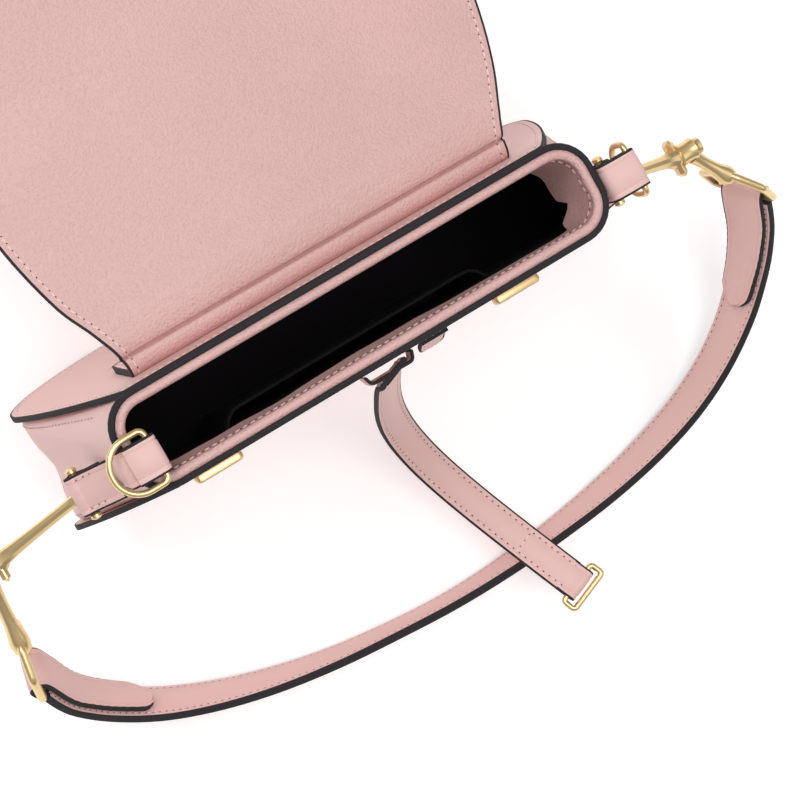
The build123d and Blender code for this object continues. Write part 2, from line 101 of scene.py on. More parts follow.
RING_REACHES = {"left": (-1.0, 0.03), "right": (0.0, -1.0)}
LOOP_PIN = (125.0, -8.0, 132.0)
SWIVEL = (170.0, -17.0, 104.0)
STRAP_ROUTE = [
    (199.0, -51.0, 73.0, 24.0), (199.5, -66.0, 59.5, 22.0), (195.0, -83.0, 45.0, 20.0),
    (184.0, -101.0, 32.0, 19.0), (167.0, -117.0, 22.0, 19.0), (146.0, -129.0, 15.5, 20.0),
    (121.0, -137.5, 12.3, 18.0), (93.0, -143.0, 12.3, 14.0), (64.0, -146.5, 12.3, 9.0),
    (34.0, -148.5, 12.3, 5.0), (4.0, -148.5, 12.3, 3.0), (-26.0, -146.0, 12.3, 4.0),
    (-56.0, -142.0, 12.3, 8.0), (-85.0, -135.5, 13.5, 14.0), (-111.0, -126.5, 17.5, 20.0),
    (-134.0, -115.0, 25.0, 25.0), (-153.0, -101.0, 36.0, 28.0), (-166.0, -86.5, 50.0, 29.0),
    (-173.0, -71.0, 65.0, 29.0),
]
POCKET_HALF = 62.6
CLOSURE_YAW = radians(21.0)
CLOSURE_ROOT_Y = -27.6
CLOSURE_ROUTE = [
    (-0.9, 160.5), (-0.5, 156.0), (0.0, 151.0), (3.0, 140.0), (8.0, 124.0), (14.5, 104.0),
    (22.0, 84.0), (30.5, 66.0), (42.0, 49.0), (57.0, 36.0), (74.0, 29.5), (93.0, 28.5),
    (112.0, 31.0), (130.0, 35.0), (147.0, 39.5),
]
PINK, EDGE, SMOOTH, THREAD = range(4)
LEATHERS = ("pink_leather", "edge_paint", "smooth_leather", "thread")


# ---- what a user may change --------------------------------------------------------------------
class PurseSizes(bpy.types.PropertyGroup):
    stitch_pitch: FloatProperty(
        name="Stitch pitch", description="From one stitch to the next", default=0.0034,
        min=0.002, max=0.01, unit="LENGTH",
    )
    stitch_length: FloatProperty(
        name="Stitch length", description="Length of the thread that shows", default=0.0025,
        min=0.001, max=0.008, unit="LENGTH",
    )
    seam_inset: FloatProperty(
        name="Seam inset", description="From a leather edge to its seam", default=0.0032,
        min=0.002, max=0.008, unit="LENGTH",
    )
    paint_width: FloatProperty(
        name="Edge paint", description="How far the edge paint reaches onto a face",
        default=0.0009, min=0.0002, max=0.002, unit="LENGTH",
    )
    grain: FloatProperty(
        name="Leather grain", description="Size of one pebble of the grain", default=0.0009,
        min=0.0003, max=0.003, unit="LENGTH",
    )


def colour_choice(name, description, default):
    return FloatVectorProperty(
        name=name, description=description, subtype="COLOR", size=4, default=(*default, 1.0),
        min=0.0, max=1.0,
    )


class PurseColours(bpy.types.PropertyGroup):
    leather: colour_choice("Leather", "Colour of the outer leather", (0.67, 0.385, 0.35))
    smooth: colour_choice(
        "Inner leather", "Colour of the leather inside the flap and the rim", (0.70, 0.425, 0.40)
    )
    edge: colour_choice("Edge paint", "Colour of the painted edges", (0.0045, 0.0038, 0.004))
    cloth: colour_choice("Lining", "Colour of the cloth lining", (0.050, 0.046, 0.054))
    metal: colour_choice("Metal", "Colour of the plated metal", (0.84, 0.66, 0.41))
    thread: colour_choice("Thread", "Colour of the stitches", (0.90, 0.68, 0.65))


# ---- finishes ----------------------------------------------------------------------------------
PEBBLED_RELIEF, SMOOTH_RELIEF = 0.00055, 0.0004


class Signal:
    """A value that varies over a surface. Arithmetic on it adds Math nodes."""

    def __init__(self, finish, socket):
        self.finish, self.socket = finish, socket

    def math(self, operation, first, second):
        return self.finish.node("ShaderNodeMath", {"operation": operation}, {0: first, 1: second})

    def __add__(self, other):
        return self.math("ADD", self, other)

    def __radd__(self, other):
        return self.math("ADD", other, self)

    def __sub__(self, other):
        return self.math("SUBTRACT", self, other)

    def __rsub__(self, other):
        return self.math("SUBTRACT", other, self)

    def __mul__(self, other):
        return self.math("MULTIPLY", self, other)

    def __rmul__(self, other):
        return self.math("MULTIPLY", other, self)

    def between(self, low, high):
        """0 at low and 1 at high, clamped, with soft ends."""
        settings = {"interpolation_type": "SMOOTHSTEP"}
        inputs = {"Value": self, "From Min": low, "From Max": high}
        return self.finish.node("ShaderNodeMapRange", settings, inputs)


class Finish:
    """A material and the nodes of its pattern, on Object coordinates."""

    def __init__(self, name, **constants):
        self.material = bpy.data.materials.new(name)
        self.material.use_nodes = True
        self.tree = self.material.node_tree
        self.tree.nodes.clear()
        self.shader = self.tree.nodes.new("ShaderNodeBsdfPrincipled")
        output = self.tree.nodes.new("ShaderNodeOutputMaterial")
        self.tree.links.new(self.shader.outputs[0], output.inputs["Surface"])
        for socket, value in constants.items():
            self.shader.inputs[socket.replace("_", " ")].default_value = value
        self.place = self.node("ShaderNodeTexCoord", output="Object")

    def node(self, kind, settings=None, inputs=None, output=0):
        made = self.tree.nodes.new(kind)
        for name, value in (settings or {}).items():
            setattr(made, name, value)
        for name, value in (inputs or {}).items():
            self.feed(made.inputs[name], value)
        return Signal(self, made.outputs[output])

    def feed(self, socket, value):
        if isinstance(value, Signal):
            self.tree.links.new(value.socket, socket)
        else:
            socket.default_value = value

    def noise(self, scale, detail=2.0, place=None):
        inputs = {"Vector": place or self.place, "Scale": scale, "Detail": detail}
        return self.node("ShaderNodeTexNoise", None, inputs)

    def pebbles(self, scale):
        """0 in the middle of a cell and about 1 at its border."""
        settings = {"feature": "SMOOTH_F1"}
        return self.node("ShaderNodeTexVoronoi", settings, {"Vector": self.place, "Scale": scale})

    def mix(self, factor, first, second):
        colours = {0: factor, 6: first, 7: second}
        return self.node("ShaderNodeMix", {"data_type": "RGBA"}, colours, 2)

    def surface(self, colour, roughness, height, depth):
        """Sets the varying colour and roughness, and relief of a depth in metres."""
        self.feed(self.shader.inputs["Base Color"], colour)
        self.feed(self.shader.inputs["Roughness"], roughness)
        relief = {"Strength": 1.0, "Distance": depth, "Height": height}
        bump = self.node("ShaderNodeBump", None, relief)
        self.feed(self.shader.inputs["Normal"], bump)


def shade(colour, amount):
    return tuple(min(c * amount, 1.0) for c in colour[:3]) + (1.0,)


def leather_finish(name, colour, grain, relief):
    finish = Finish(name, Specular_IOR_Level=0.5, Coat_Weight=0.2, Coat_Roughness=0.26)
    pebbles = finish.pebbles(1.0 / grain)
    pores = finish.noise(2600.0)
    creases = finish.noise(95.0, 4.0)
    tone = finish.noise(11.0, 3.0)
    # Large soft patches a little lighter and darker: tone that varies at random, partly a painted
    # sheen.
    tone_and_sheen = finish.mix(tone.between(0.35, 0.68), shade(colour, 0.955), shade(colour, 1.03))
    # Darker where the grain's pebbles meet, down in its valleys: painted shade.
    tinted = finish.mix(pebbles.between(0.45, 0.8) * 0.5, tone_and_sheen, shade(colour, 0.88))
    roughness = 0.32 + tone * 0.14 + pebbles * 0.1
    height = 0.25 * pores - pebbles + 0.8 * creases
    finish.surface(tinted, roughness, height, relief)
    return finish.material


def edge_finish(colour):
    finish = Finish("edge_paint", Specular_IOR_Level=0.18, Coat_Weight=0.04, Coat_Roughness=0.15)
    lumps = finish.noise(420.0, 3.0)
    wear = finish.noise(60.0, 4.0)
    tinted = finish.mix(wear.between(0.55, 0.75), colour, shade(colour, 2.2))
    finish.surface(tinted, 0.24 + wear * 0.25, lumps, 0.00018)
    return finish.material


def cloth_finish(name, colour, pitch):
    finish = Finish(name, Sheen_Weight=0.3, Sheen_Roughness=0.4, Specular_IOR_Level=0.25)
    settings = {"wave_type": "BANDS", "bands_direction": "DIAGONAL"}
    rib = {"Vector": finish.place, "Scale": 0.314 / pitch, "Distortion": 0.6, "Detail": 1.0}
    ribs = finish.node("ShaderNodeTexWave", settings, rib, "Fac")
    yarns = finish.noise(1500.0)
    creases = finish.noise(45.0, 3.0)
    # Lighter on the raised ribs and yarns of the weave, where the bump rises: painted highlight
    # that shows the twill.
    weave_highlight = finish.mix(ribs * 0.6 + yarns * 0.4, shade(colour, 0.6), shade(colour, 1.9))
    # Lighter patches where the creases rise: painted highlight.
    tinted = finish.mix(creases.between(0.5, 0.75) * 0.5, weave_highlight, shade(colour, 2.4))
    finish.surface(tinted, 0.78 + 0.15 * yarns, ribs + 0.5 * yarns + 2.0 * creases, 0.00016)
    return finish.material


def metal_finish(colour, roughness):
    finish = Finish("gold_metal", Metallic=1.0)
    rubbed = finish.noise(160.0, 4.0)
    ripple = finish.noise(34.0, 2.0)
    tinted = finish.mix(rubbed.between(0.35, 0.7), shade(colour, 0.94), shade(colour, 1.04))
    finish.surface(tinted, roughness + rubbed * 0.09, ripple + 0.04 * rubbed, 0.00025)
    return finish.material


def thread_finish(colour):
    finish = Finish("thread", Specular_IOR_Level=0.4)
    plies = finish.noise(2200.0)
    tinted = finish.mix(plies.between(0.3, 0.7), shade(colour, 0.86), shade(colour, 1.08))
    finish.surface(tinted, 0.5 + 0.2 * plies, plies, 0.0001)
    return finish.material


def board_finish(name, colour, metallic):
    finish = Finish(name, Metallic=metallic)
    fibres = finish.noise(700.0, 4.0)
    tinted = finish.mix(fibres, shade(colour, 0.8), shade(colour, 1.15))
    finish.surface(tinted, 0.55 + 0.3 * fibres, fibres, 0.00008)
    return finish.material


def finishes(*names):
    """The named materials, made from the scene's colours the first time that they are used."""
    colours, sizes = bpy.context.scene.purse_colours, bpy.context.scene.purse_sizes
    makers = {
        "pink_leather": lambda: leather_finish(
            "pink_leather", colours.leather, sizes.grain, PEBBLED_RELIEF
        ),
        "smooth_leather": lambda: leather_finish(
            "smooth_leather", colours.smooth, sizes.grain, SMOOTH_RELIEF
        ),
        "edge_paint": lambda: edge_finish(colours.edge),
        "black_twill": lambda: cloth_finish("black_twill", colours.cloth, 0.0011),
        "zip_tape": lambda: cloth_finish("zip_tape", shade(colours.cloth, 0.6), 0.0006),
        "gold_metal": lambda: metal_finish(colours.metal, 0.13),
        "thread": lambda: thread_finish(colours.thread),
        "fibre_board": lambda: board_finish("fibre_board", (0.35, 0.30, 0.25, 1.0), 0.0),
        "magnet_steel": lambda: board_finish("magnet_steel", (0.55, 0.55, 0.55, 1.0), 1.0),
        "zip_teeth": lambda: board_finish("zip_teeth", (0.02, 0.02, 0.022, 1.0), 0.0),
    }
    return [bpy.data.materials.get(name) or makers[name]() for name in names]


# ---- curves ------------------------------------------------------------------------------------
def smooth_through(points, steps):
    """Points on a smooth curve through the given rows of numbers, steps to each gap."""
    rows = [points[0], *points, points[-1]]
    made = []
    for a, b, c, d in zip(rows, rows[1:], rows[2:], rows[3:]):
        for step in range(steps):
            t = step / steps
            made.append(tuple(
                0.5 * (2 * q + (r - p) * t + (2 * p - 5 * q + 4 * r - s) * t * t
                       + (3 * q - p - 3 * r + s) * t ** 3)
                for p, q, r, s in zip(a, b, c, d)
            ))
    return made + [tuple(points[-1])]


def smooth_vectors(points, steps):
    return [Vector(p) for p in smooth_through([tuple(p) for p in points], steps)]


def rounded(points, radii, steps=6):
    """A closed path through points, with an arc of its own radius at each one."""
    made = []
    count = len(points)
    for n, (point, radius) in enumerate(zip(points, radii)):
        before = (points[n - 1] - point).normalized()
        after = (points[(n + 1) % count] - point).normalized()
        half = before.angle(after) / 2
        middle = point + (before + after).normalized() * (radius / sin(half))
        foot = radius / (sin(half) / cos(half))
        start, end = (point + before * foot - middle), (point + after * foot - middle)
        made += [middle + start.slerp(end, step / steps) * radius for step in range(steps + 1)]
    return made


def spaced(points, ups, pitch, closed=False):
    """Points at an even pitch along a path, each with the direction that is up there."""
    points, ups = list(points), list(ups)
    if closed:
        points, ups = points + points[:1], ups + ups[:1]
    made, carried = [], pitch / 2
    for a, b, up_a, up_b in zip(points, points[1:], ups, ups[1:]):
        length = (b - a).length
        while carried <= length and length > 0:
            t = carried / length
            made.append((a.lerp(b, t), up_a.lerp(up_b, t).normalized(), (b - a) / length))
            carried += pitch
        carried -= length
    return made


def arc(start, middle, end, steps):
    """Points on the circle through three points of a plane, from start to before end."""
    ax, ay = middle[0] - start[0], middle[1] - start[1]
    bx, by = end[0] - start[0], end[1] - start[1]
    scale = 2 * (ax * by - ay * bx)
    a, b = ax * ax + ay * ay, bx * bx + by * by
    centre = Vector((start[0] + (by * a - ay * b) / scale, start[1] + (ax * b - bx * a) / scale))
    first, last = Vector(start) - centre, Vector(end) - centre
    return [tuple(centre + first.slerp(last, step / steps) * first.length) for step in range(steps)]


def wall_y(z, inset=0.0):
    return BASE_HALF_DEPTH - LEAN * z - inset


def bell(value, middle, width):
    return exp(-(((value - middle) / width) ** 2))


def share(value):
    return min(max(value, 0.0), 1.0)


def ease(value, low, high):
    t = share((value - low) / (high - low))
    return t * t * (3 - 2 * t)


def hump(value):
    """0 at 0 and at 1, and 1 half way."""
    return sin(pi * share(value))


def mirrored(point, side):
    return Vector((side * point[0], point[1], point[2]))


def circle(radius, angles):
    return [(radius * cos(a), radius * sin(a)) for a in angles]


# ---- pieces ------------------------------------------------------------------------------------
def as_mesh(name, bm, materials):
    mesh = bpy.data.meshes.new(name)
    bm.to_mesh(mesh)
    bm.free()
    for material in materials:
        mesh.materials.append(material)
    return mesh


def as_object(name, data):
    made = bpy.data.objects.new(name, data)
    bpy.context.scene.collection.objects.link(made)
    return made


class Piece:
    """A mesh in millimetres, until it is put on a body."""

    def __init__(self, name, *materials):
        self.name, self.materials, self.bm = name, materials or LEATHERS, bmesh.new()

    def loft(self, sections, sides=None, ends=True):
        """Extrudes a ring of points from section to section. sides is the finish of each side."""
        bm = self.bm
        ring = [bm.verts.new(point) for point in sections[0]]
        count = len(ring)
        edges = [bm.edges.new((ring[n - 1], ring[n])) for n in range(count)]
        rings = [edges]
        for section in sections[1:]:
            made = bmesh.ops.extrude_edge_only(bm, edges=edges)["geom"]
            fresh = {item for item in made if isinstance(item, bmesh.types.BMVert)}
            moved = []
            for vert, point in zip(ring, section):
                others = (edge.other_vert(vert) for edge in vert.link_edges)
                new = next(other for other in others if other in fresh)
                new.co = point
                moved.append(new)
            next_edges = [bm.edges.get((moved[n - 1], moved[n])) for n in range(count)]
            for n, edge in enumerate(next_edges):
                for face in edge.link_faces:
                    face.material_index = sides[n - 1] if sides else 0
            ring, edges = moved, next_edges
            rings.append(edges)
        if ends:
            for loop, wanted in ((rings[0], 0), (rings[-1], -1)):
                made = bmesh.ops.contextual_create(bm, geom=loop)
                for face in made["faces"]:
                    face.material_index = EDGE if sides else 0
        return self

    def tube(self, points, radius, closed=False, up=Vector((0, 0, 1)), around=12, flat=1.0):
        """Round wire along a path. radius is one number, or one for each point."""
        points = [Vector(p) for p in points]
        count = len(points)
        radii = radius if isinstance(radius, (list, tuple)) else [radius] * count
        sections = []
        for n, (point, size) in enumerate(zip(points, radii)):
            after = points[(n + 1) % count] if closed or n + 1 < count else point
            before = points[n - 1] if closed or n else point
            along = (after - before).normalized()
            side = along.cross(up).normalized()
            top = side.cross(along)
            sections.append([
                point + side * (size * cos(a)) + top * (size * flat * sin(a))
                for a in (2 * pi * k / around for k in range(around))
            ])
        if closed:
            sections.append(sections[0])
        return self.loft(sections, ends=not closed)

    def band(self, points, acrosses, width, thickness, seams=True, faces=(PINK, PINK), widths=None):
        """A flat strap with painted edges and a seam by each edge, on a path of points.

        acrosses gives its width direction at each point, and widths a part of the width.
        """
        sizes = bpy.context.scene.purse_sizes
        half, top = width / 2, thickness / 2
        paint, seam = sizes.paint_width / MM, sizes.seam_inset / MM * 0.85
        rows = [(half - paint, top - 0.12), (half - seam + 0.6, top), (half - seam, top - 0.35),
                (half - seam - 0.6, top + 0.05)]
        rows = [(-u, v) for u, v in rows] + [(0.0, top + 0.12)] + rows[::-1]
        rim = [(half - 0.1, top * 0.6), (half, 0.0), (half - 0.1, -top * 0.6)]
        outline = rows + rim + [(-u, -v) for u, v in rows] + [(-u, -v) for u, v in rim]
        flat = len(rows) - 1
        sides = [faces[0]] * flat + [EDGE] * 4 + [faces[1]] * flat + [EDGE] * 4
        points = [Vector(p) for p in points]
        last = len(points) - 1
        widths = widths or [1.0] * len(points)
        sections, seam_lines = [], [([], []) for _ in range(4)]
        for n, (point, across, part) in enumerate(zip(points, acrosses, widths)):
            along = (points[min(n + 1, last)] - points[max(n - 1, 0)]).normalized()
            normal = along.cross(across).normalized()
            sections.append([point + across * (u * part) + normal * v for u, v in outline])
            for line, (side, face) in zip(seam_lines, ((-1, 1), (1, 1), (-1, -1), (1, -1))):
                place = across * side * (half * part - seam) + normal * face * (top - 0.02)
                line[0].append(point + place)
                line[1].append(normal * face)
        self.loft(sections, sides)
        if seams:
            for line_points, ups in seam_lines:
                self.stitches(line_points, ups)
        return self

    def stitches(self, points, ups, closed=False, length=None, slant=0.12):
        """Thread stitches along a path, each turned from it a little, with a dark bead between them
        as painted shade in each needle hole.
        """
        sizes = bpy.context.scene.purse_sizes
        half = (length or sizes.stitch_length / MM) / 2
        for point, up, along in spaced(points, ups, sizes.stitch_pitch / MM, closed):
            side = up.cross(along).normalized()
            along = (side.cross(up) + side * slant).normalized()
            shape = Matrix((along * half, up.cross(along) * 0.4, up * 0.36)).transposed().to_4x4()
            self.bead(Matrix.Translation(point) @ shape, THREAD)
            # A flat dark bead at the needle hole past each stitch: painted shade, as the hole shows
            # dark.
            hole_shade = Matrix((along * 0.36, up.cross(along) * 0.36, up * 0.12)).transposed().to_4x4()
            place = Matrix.Translation(point + along * (half + 0.3))
            self.bead(place @ hole_shade, EDGE)

    def bead(self, shape, material):
        """A small round body, of a shape given as a matrix."""
        made = bmesh.ops.create_icosphere(self.bm, subdivisions=1, radius=1.0, matrix=shape)
        for face in {face for vert in made["verts"] for face in vert.link_faces}:
            face.material_index = material

    def block(self, size):
        """A box round the origin, and its edges."""
        shape = Matrix.Diagonal((*size, 1.0))
        made = bmesh.ops.create_cube(self.bm, size=1.0, matrix=shape)
        return list({edge for vert in made["verts"] for edge in vert.link_edges})

    def soften(self, edges, offset, segments, **settings):
        bmesh.ops.bevel(
            self.bm, geom=edges, offset=offset, offset_type="OFFSET", segments=segments,
            profile=0.5, affect="EDGES", material=-1, **settings,
        )

    def turned(self, start, along, profile, **settings):
        """A turned rod: how thick it is at distances along it from its start."""
        line = [start + along * distance for distance, radius in profile]
        return self.tube(line, [radius for distance, radius in profile], **settings)

    def sheet(self, outline, thickness, step, seam=None, faces=(SMOOTH, PINK), rows=()):
        """A flat sheet in X and Y cut into squares, with painted edges and cuts beside its seam.

        rows are further values of Y that it is cut at, where it will bend.
        """
        bm = self.bm
        sizes = bpy.context.scene.purse_sizes
        seam = seam or sizes.seam_inset / MM
        paint = sizes.paint_width / MM
        face = bm.faces.new([bm.verts.new((x, y, -thickness / 2)) for x, y in outline])
        face.normal_update()
        for width in (paint, seam - paint - SEAM_STRIP, SEAM_STRIP, SEAM_STRIP):
            rim = bmesh.ops.inset_region(
                bm, faces=[face], thickness=width, use_boundary=True, use_even_offset=True
            )
            if width == paint:
                for strip in rim["faces"]:
                    strip.material_index = EDGE
        for axis in (0, 1):
            low = min(p[axis] for p in outline)
            high = max(p[axis] for p in outline)
            normal = Vector((1 - axis, axis, 0))
            places = [n * step for n in range(int(low // step) + 1, int(high // step) + 1)]
            for place in places + (list(rows) if axis else []):
                self.divide(normal * place, normal)
        lower = bm.faces[:]
        raised = bmesh.ops.extrude_face_region(bm, geom=lower)["geom"]
        upper = [item for item in raised if isinstance(item, bmesh.types.BMFace)]
        lifted = [item for item in raised if isinstance(item, bmesh.types.BMVert)]
        bmesh.ops.translate(bm, vec=(0, 0, thickness), verts=lifted)
        for skin, material in ((lower, faces[1]), (upper, faces[0])):
            for flat in skin:
                if flat.material_index != EDGE:
                    flat.material_index = material
        skins = set(lower) | set(upper)
        for wall in bm.faces:
            if wall not in skins:
                wall.material_index = EDGE
        rims = [e for e in bm.edges if sum(f in skins for f in e.link_faces) == 1]
        self.soften(rims, 0.2, 2, clamp_overlap=True)
        return self

    def seam_lines(self, outline, thickness, inset=None, faces=(1, -1)):
        """Stitches along a flat sheet's edge, on its faces."""
        inset = inset or bpy.context.scene.purse_sizes.seam_inset / MM
        count = len(outline)
        for face in faces:
            path = []
            for n, point in enumerate(outline):
                along = Vector(outline[(n + 1) % count]) - Vector(outline[n - 1])
                inwards = Vector((-along.y, along.x)).normalized()
                place = Vector(point) + inwards * inset
                path.append(Vector((place.x, place.y, face * (thickness / 2 - 0.02))))
            ups = [Vector((0, 0, face))] * len(path)
            self.stitches(path, ups, closed=True)
        return self

    def reshape(self, place):
        """Moves every point to where place says."""
        for vert in self.bm.verts:
            vert.co = place(*vert.co)
        return self

    def divide(self, point, normal, **settings):
        everything = self.bm.verts[:] + self.bm.edges[:] + self.bm.faces[:]
        return bmesh.ops.bisect_plane(
            self.bm, geom=everything, dist=1e-4, plane_co=point, plane_no=normal, **settings
        )

    def cut(self, point, normal):
        """Cuts off what lies on the normal's side of a plane and closes the hole."""
        made = self.divide(point, normal, clear_outer=True)
        edges = [item for item in made["geom_cut"] if isinstance(item, bmesh.types.BMEdge)]
        bmesh.ops.holes_fill(self.bm, edges=edges, sides=0)
        return self

    def copy(self, name):
        other = Piece(name, *self.materials)
        other.bm.free()
        other.bm = self.bm.copy()
        return other

    def put(self, body, slot, *nodes, blend=None, sharp=40.0):
        """Makes the object, which stands for CAD nodes and hides them, and rides on a body; given a
        blend, it stays where it is, on no body.
        """
        bm = self.bm
        bmesh.ops.remove_doubles(bm, verts=bm.verts, dist=0.003)
        bmesh.ops.recalc_face_normals(bm, faces=bm.faces)
        bmesh.ops.transform(bm, matrix=Matrix.Scale(MM, 4), verts=bm.verts)
        mesh = as_mesh(self.name, bm, finishes(*self.materials))
        mesh.polygons.foreach_set("use_smooth", [True] * len(mesh.polygons))
        mesh.set_sharp_from_angle(angle=radians(sharp))
        piece = as_object(self.name, mesh)
        if nodes:
            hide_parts(*nodes)
        if blend:
            other, start, end = blend
            Vector(start) * MM
            Vector(end) * MM
            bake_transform(piece)
        else:
            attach(piece, body)
        return piece


def dress(slot, *nodes):
    """Gives CAD nodes that stay their finish."""
    material, = finishes(slot)
    for name in nodes:
        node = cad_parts[name]
        node.data.materials.clear()
        node.data.materials.append(material)


# ---- body --------------------------------------------------------------------------------------
def level_ring(half_x, half_y, radius, z):
    """A level rounded rectangle, with as many points at every size."""
    made = []
    corners = ((1, 1, 0.0), (-1, 1, 0.5), (-1, -1, 1.0), (1, -1, 1.5))
    for n, (side_x, side_y, turn) in enumerate(corners):
        middle = Vector((side_x * (half_x - radius), side_y * (half_y - radius)))
        for step in range(9):
            angle = pi * (turn + step / 16)
            made.append(middle + Vector((cos(angle), sin(angle))) * radius)
        next_x, next_y, next_turn = corners[(n + 1) % 4]
        after = Vector((next_x * (half_x - radius), next_y * (half_y - radius)))
        angle = pi * next_turn
        after += Vector((cos(angle), sin(angle))) * radius
        gaps = 28 if side_x != next_x else 8
        made += [made[-1].lerp(after, step / gaps) for step in range(1, gaps)]
    return [Vector((p.x, p.y, z)) for p in made]


def creased(point):
    """The body's ends are pressed in along their middle, as soft side walls fold."""
    x, y, z = point
    depth = 3.2 * bell(y, 0.0, 9.0) * hump(z / 142.0) ** 2
    return Vector((x - depth * (1 if x > 0 else -1) * ease(abs(x), 80, 108), y, z))


def body_levels(inset, low, high, count, crease=True):
    """Rings of the body between the panels, inset from its outer surface."""
    table = smooth_through(BODY_SECTIONS, 8)
    made = []
    for step in range(count + 1):
        z = low + (high - low) * step / count
        below = max((row for row in table if row[0] <= z + 1e-6), default=table[0])
        above = min((row for row in table if row[0] > z + 1e-6), default=table[-1])
        t = (z - below[0]) / (above[0] - below[0]) if above[0] > below[0] else 0.0
        half_x, radius = (b + (a - b) * t for b, a in zip(below[1:], above[1:]))
        ring = level_ring(half_x - inset, wall_y(z, PANEL + inset), max(radius - inset, 1.0), z)
        made.append([creased(point) for point in ring] if crease else ring)
    return made


def half_length(z):
    """Half length of the body at height z."""
    rows = smooth_through(BODY_SECTIONS, 8)
    for low, high in zip(rows, rows[1:]):
        if low[0] <= z <= high[0]:
            return low[1] + (high[1] - low[1]) * (z - low[0]) / (high[0] - low[0])
    return rows[-1][1]


def panel_outline():
    right = arc((78.0, 0.0), (116.5, 23.0), (128.5, 66.0), 20)
    right += arc((128.5, 66.0), (115.5, 118.0), (96.0, WALL_TOP), 24)
    top = [(96.0 - 16.0 * n, WALL_TOP) for n in range(13)]
    left = [(-x, z) for x, z in reversed(right)]
    base = [(-78.0 + 13.0 * n, 0.0) for n in range(1, 12)]
    return right + top + left[:-1] + [(-78.0, 0.0)] + base


def make_panels():
    for side, name in ((-1, "front_panel"), (1, "back_panel")):
        make_panel(side, name)


def make_panel(side, name):
    outline = panel_outline()
    piece = Piece(name).sheet(outline, PANEL, 9.0, faces=(PINK, PINK))
    piece.seam_lines(outline, PANEL, faces=(1,))

    def place(x, z, t):
        crown = 0.5 * (1 - (x / 125.0) ** 2) * hump(z / WALL_TOP)
        out = wall_y(z, PANEL / 2) + t + (max(crown, 0.0) if t > 0 else 0.0)
        return Vector((x, side * out, z))

    piece.reshape(place)
    return piece.put("bag_body", "pink_leather", name)


def make_gusset():
    piece = Piece("gusset_shell")
    outer = body_levels(0.0, 0.0, WALL_TOP, 34)
    inner = body_levels(2.0, 2.0, WALL_TOP, 30)
    piece.loft(outer + inner[::-1])
    for face in piece.bm.faces:
        face.material_index = PINK
    for side in (-1, 1):
        for across in (-1, 1):
            path = []
            for level in body_levels(0.0, 6.0, 146.0, 69):
                y = across * (wall_y(level[0].z, PANEL) - 3.4)
                for near, far in zip(level, level[1:] + level[:1]):
                    if near.x * side > 0 and (near.y - y) * (far.y - y) < 0:
                        path.append(near.lerp(far, (y - near.y) / (far.y - near.y)))
            piece.stitches(path, [Vector((side, 0, 0))] * len(path))
    return piece.put("bag_body", "pink_leather", "gusset")


def make_rim():
    half_depth = wall_y(WALL_TOP)
    path = level_ring(RIM_HALF_LENGTH - 1.65, half_depth - 1.65, RIM_CORNER - 1.65, 168.1)
    wobble = [p + Vector((0, 0, 0.25 * noise.noise(p * 0.04))) for p in path]
    Piece("rim_edge_roll", "edge_paint").tube(
        wobble, 1.5, closed=True, around=14, flat=1.1
    ).put("bag_body", "edge_paint", "rim_piping")

    path = level_ring(RIM_HALF_LENGTH - 4.8, half_depth - 4.8, RIM_CORNER - 4.8, 168.2)
    wobble = [p + Vector((0, 0, 0.3 * noise.noise(p * 0.05 + Vector((3, 0, 0))))) for p in path]
    roll = Piece("rim_binding_roll", "smooth_leather")
    roll.tube(wobble, 2.05, closed=True, around=14, flat=0.9)
    roll.put("bag_body", "pink_lining_leather", "rim_binding")


def facing_hem(point):
    """How low the leather facing reaches at a point of the mouth: deep lobes at the ends."""
    x, y = point.x, point.y
    ends = ease(abs(x), 91.0, 101.0)
    waves = 4.0 * bell(x, -70, 22) + 3.5 * bell(x, 8, 26) + 2.0 * bell(x, 55, 18)
    sides = 156.0 - (waves if y < 0 else 0.55 * waves)
    right = 138.5 - 2.0 * bell(y, 3.0, 7.0) + 7.5 * ease(-y, 3.2, 5.6) - 4.0 * bell(y, -13.0, 5.0)
    left = 139.0 - 2.0 * bell(y, -8.0, 9.0)
    return sides + ((right if x > 0 else left) - sides) * ends


def make_facing():
    """The leather band inside the mouth, with a seam below its roll."""
    piece = Piece("rim_facing_band")
    rows = 10

    def ring(depth_share, inset):
        """The band hangs nearer to upright than the wall, and stands off it in soft waves."""
        made = []
        for point in body_levels(inset, 140.0, WALL_TOP, 1, crease=False)[1]:
            drop = (WALL_TOP - facing_hem(point)) * depth_share
            at_end = ease(abs(point.x), 84.0, 102.0)
            wave = 0.6 + 0.4 * noise.noise(Vector((point.x * 0.045, point.y * 0.02, 1.0)))
            in_x = (0.20 if point.x > 0 else 0.05) * drop * at_end
            near = 0.05 + (0.15 * (1 - ease(point.x, 10.0, 60.0)) if point.y < 0 else 0.0)
            in_y = near * drop * wave * ease(abs(point.y), 3.0, 12.0)
            x = point.x - (in_x if point.x > 0 else -in_x)
            y = point.y - (in_y if point.y > 0 else -in_y)
            made.append(Vector((x, y, WALL_TOP + 0.8 - drop)))
        return made

    front = [ring(n / rows, 4.2 - 0.25 * sin(pi * n / rows)) for n in range(rows + 1)]
    back = [ring(n / rows, 3.1) for n in range(rows + 1)]
    piece.loft(front + back[::-1], ends=False)
    bmesh.ops.bridge_loops(
        piece.bm, edges=[edge for edge in piece.bm.edges if len(edge.link_faces) == 1]
    )
    for face in piece.bm.faces:
        face.material_index = SMOOTH
    seam = ring(0.16, 4.3)
    ups = []
    for n, point in enumerate(seam):
        along = (seam[(n + 1) % len(seam)] - seam[n - 1]).normalized()
        ups.append(Vector((-along.y, along.x, 0.1)).normalized())
    piece.stitches(seam, ups, closed=True)
    return piece.put("bag_body", "pink_lining_leather", "rim_facing")


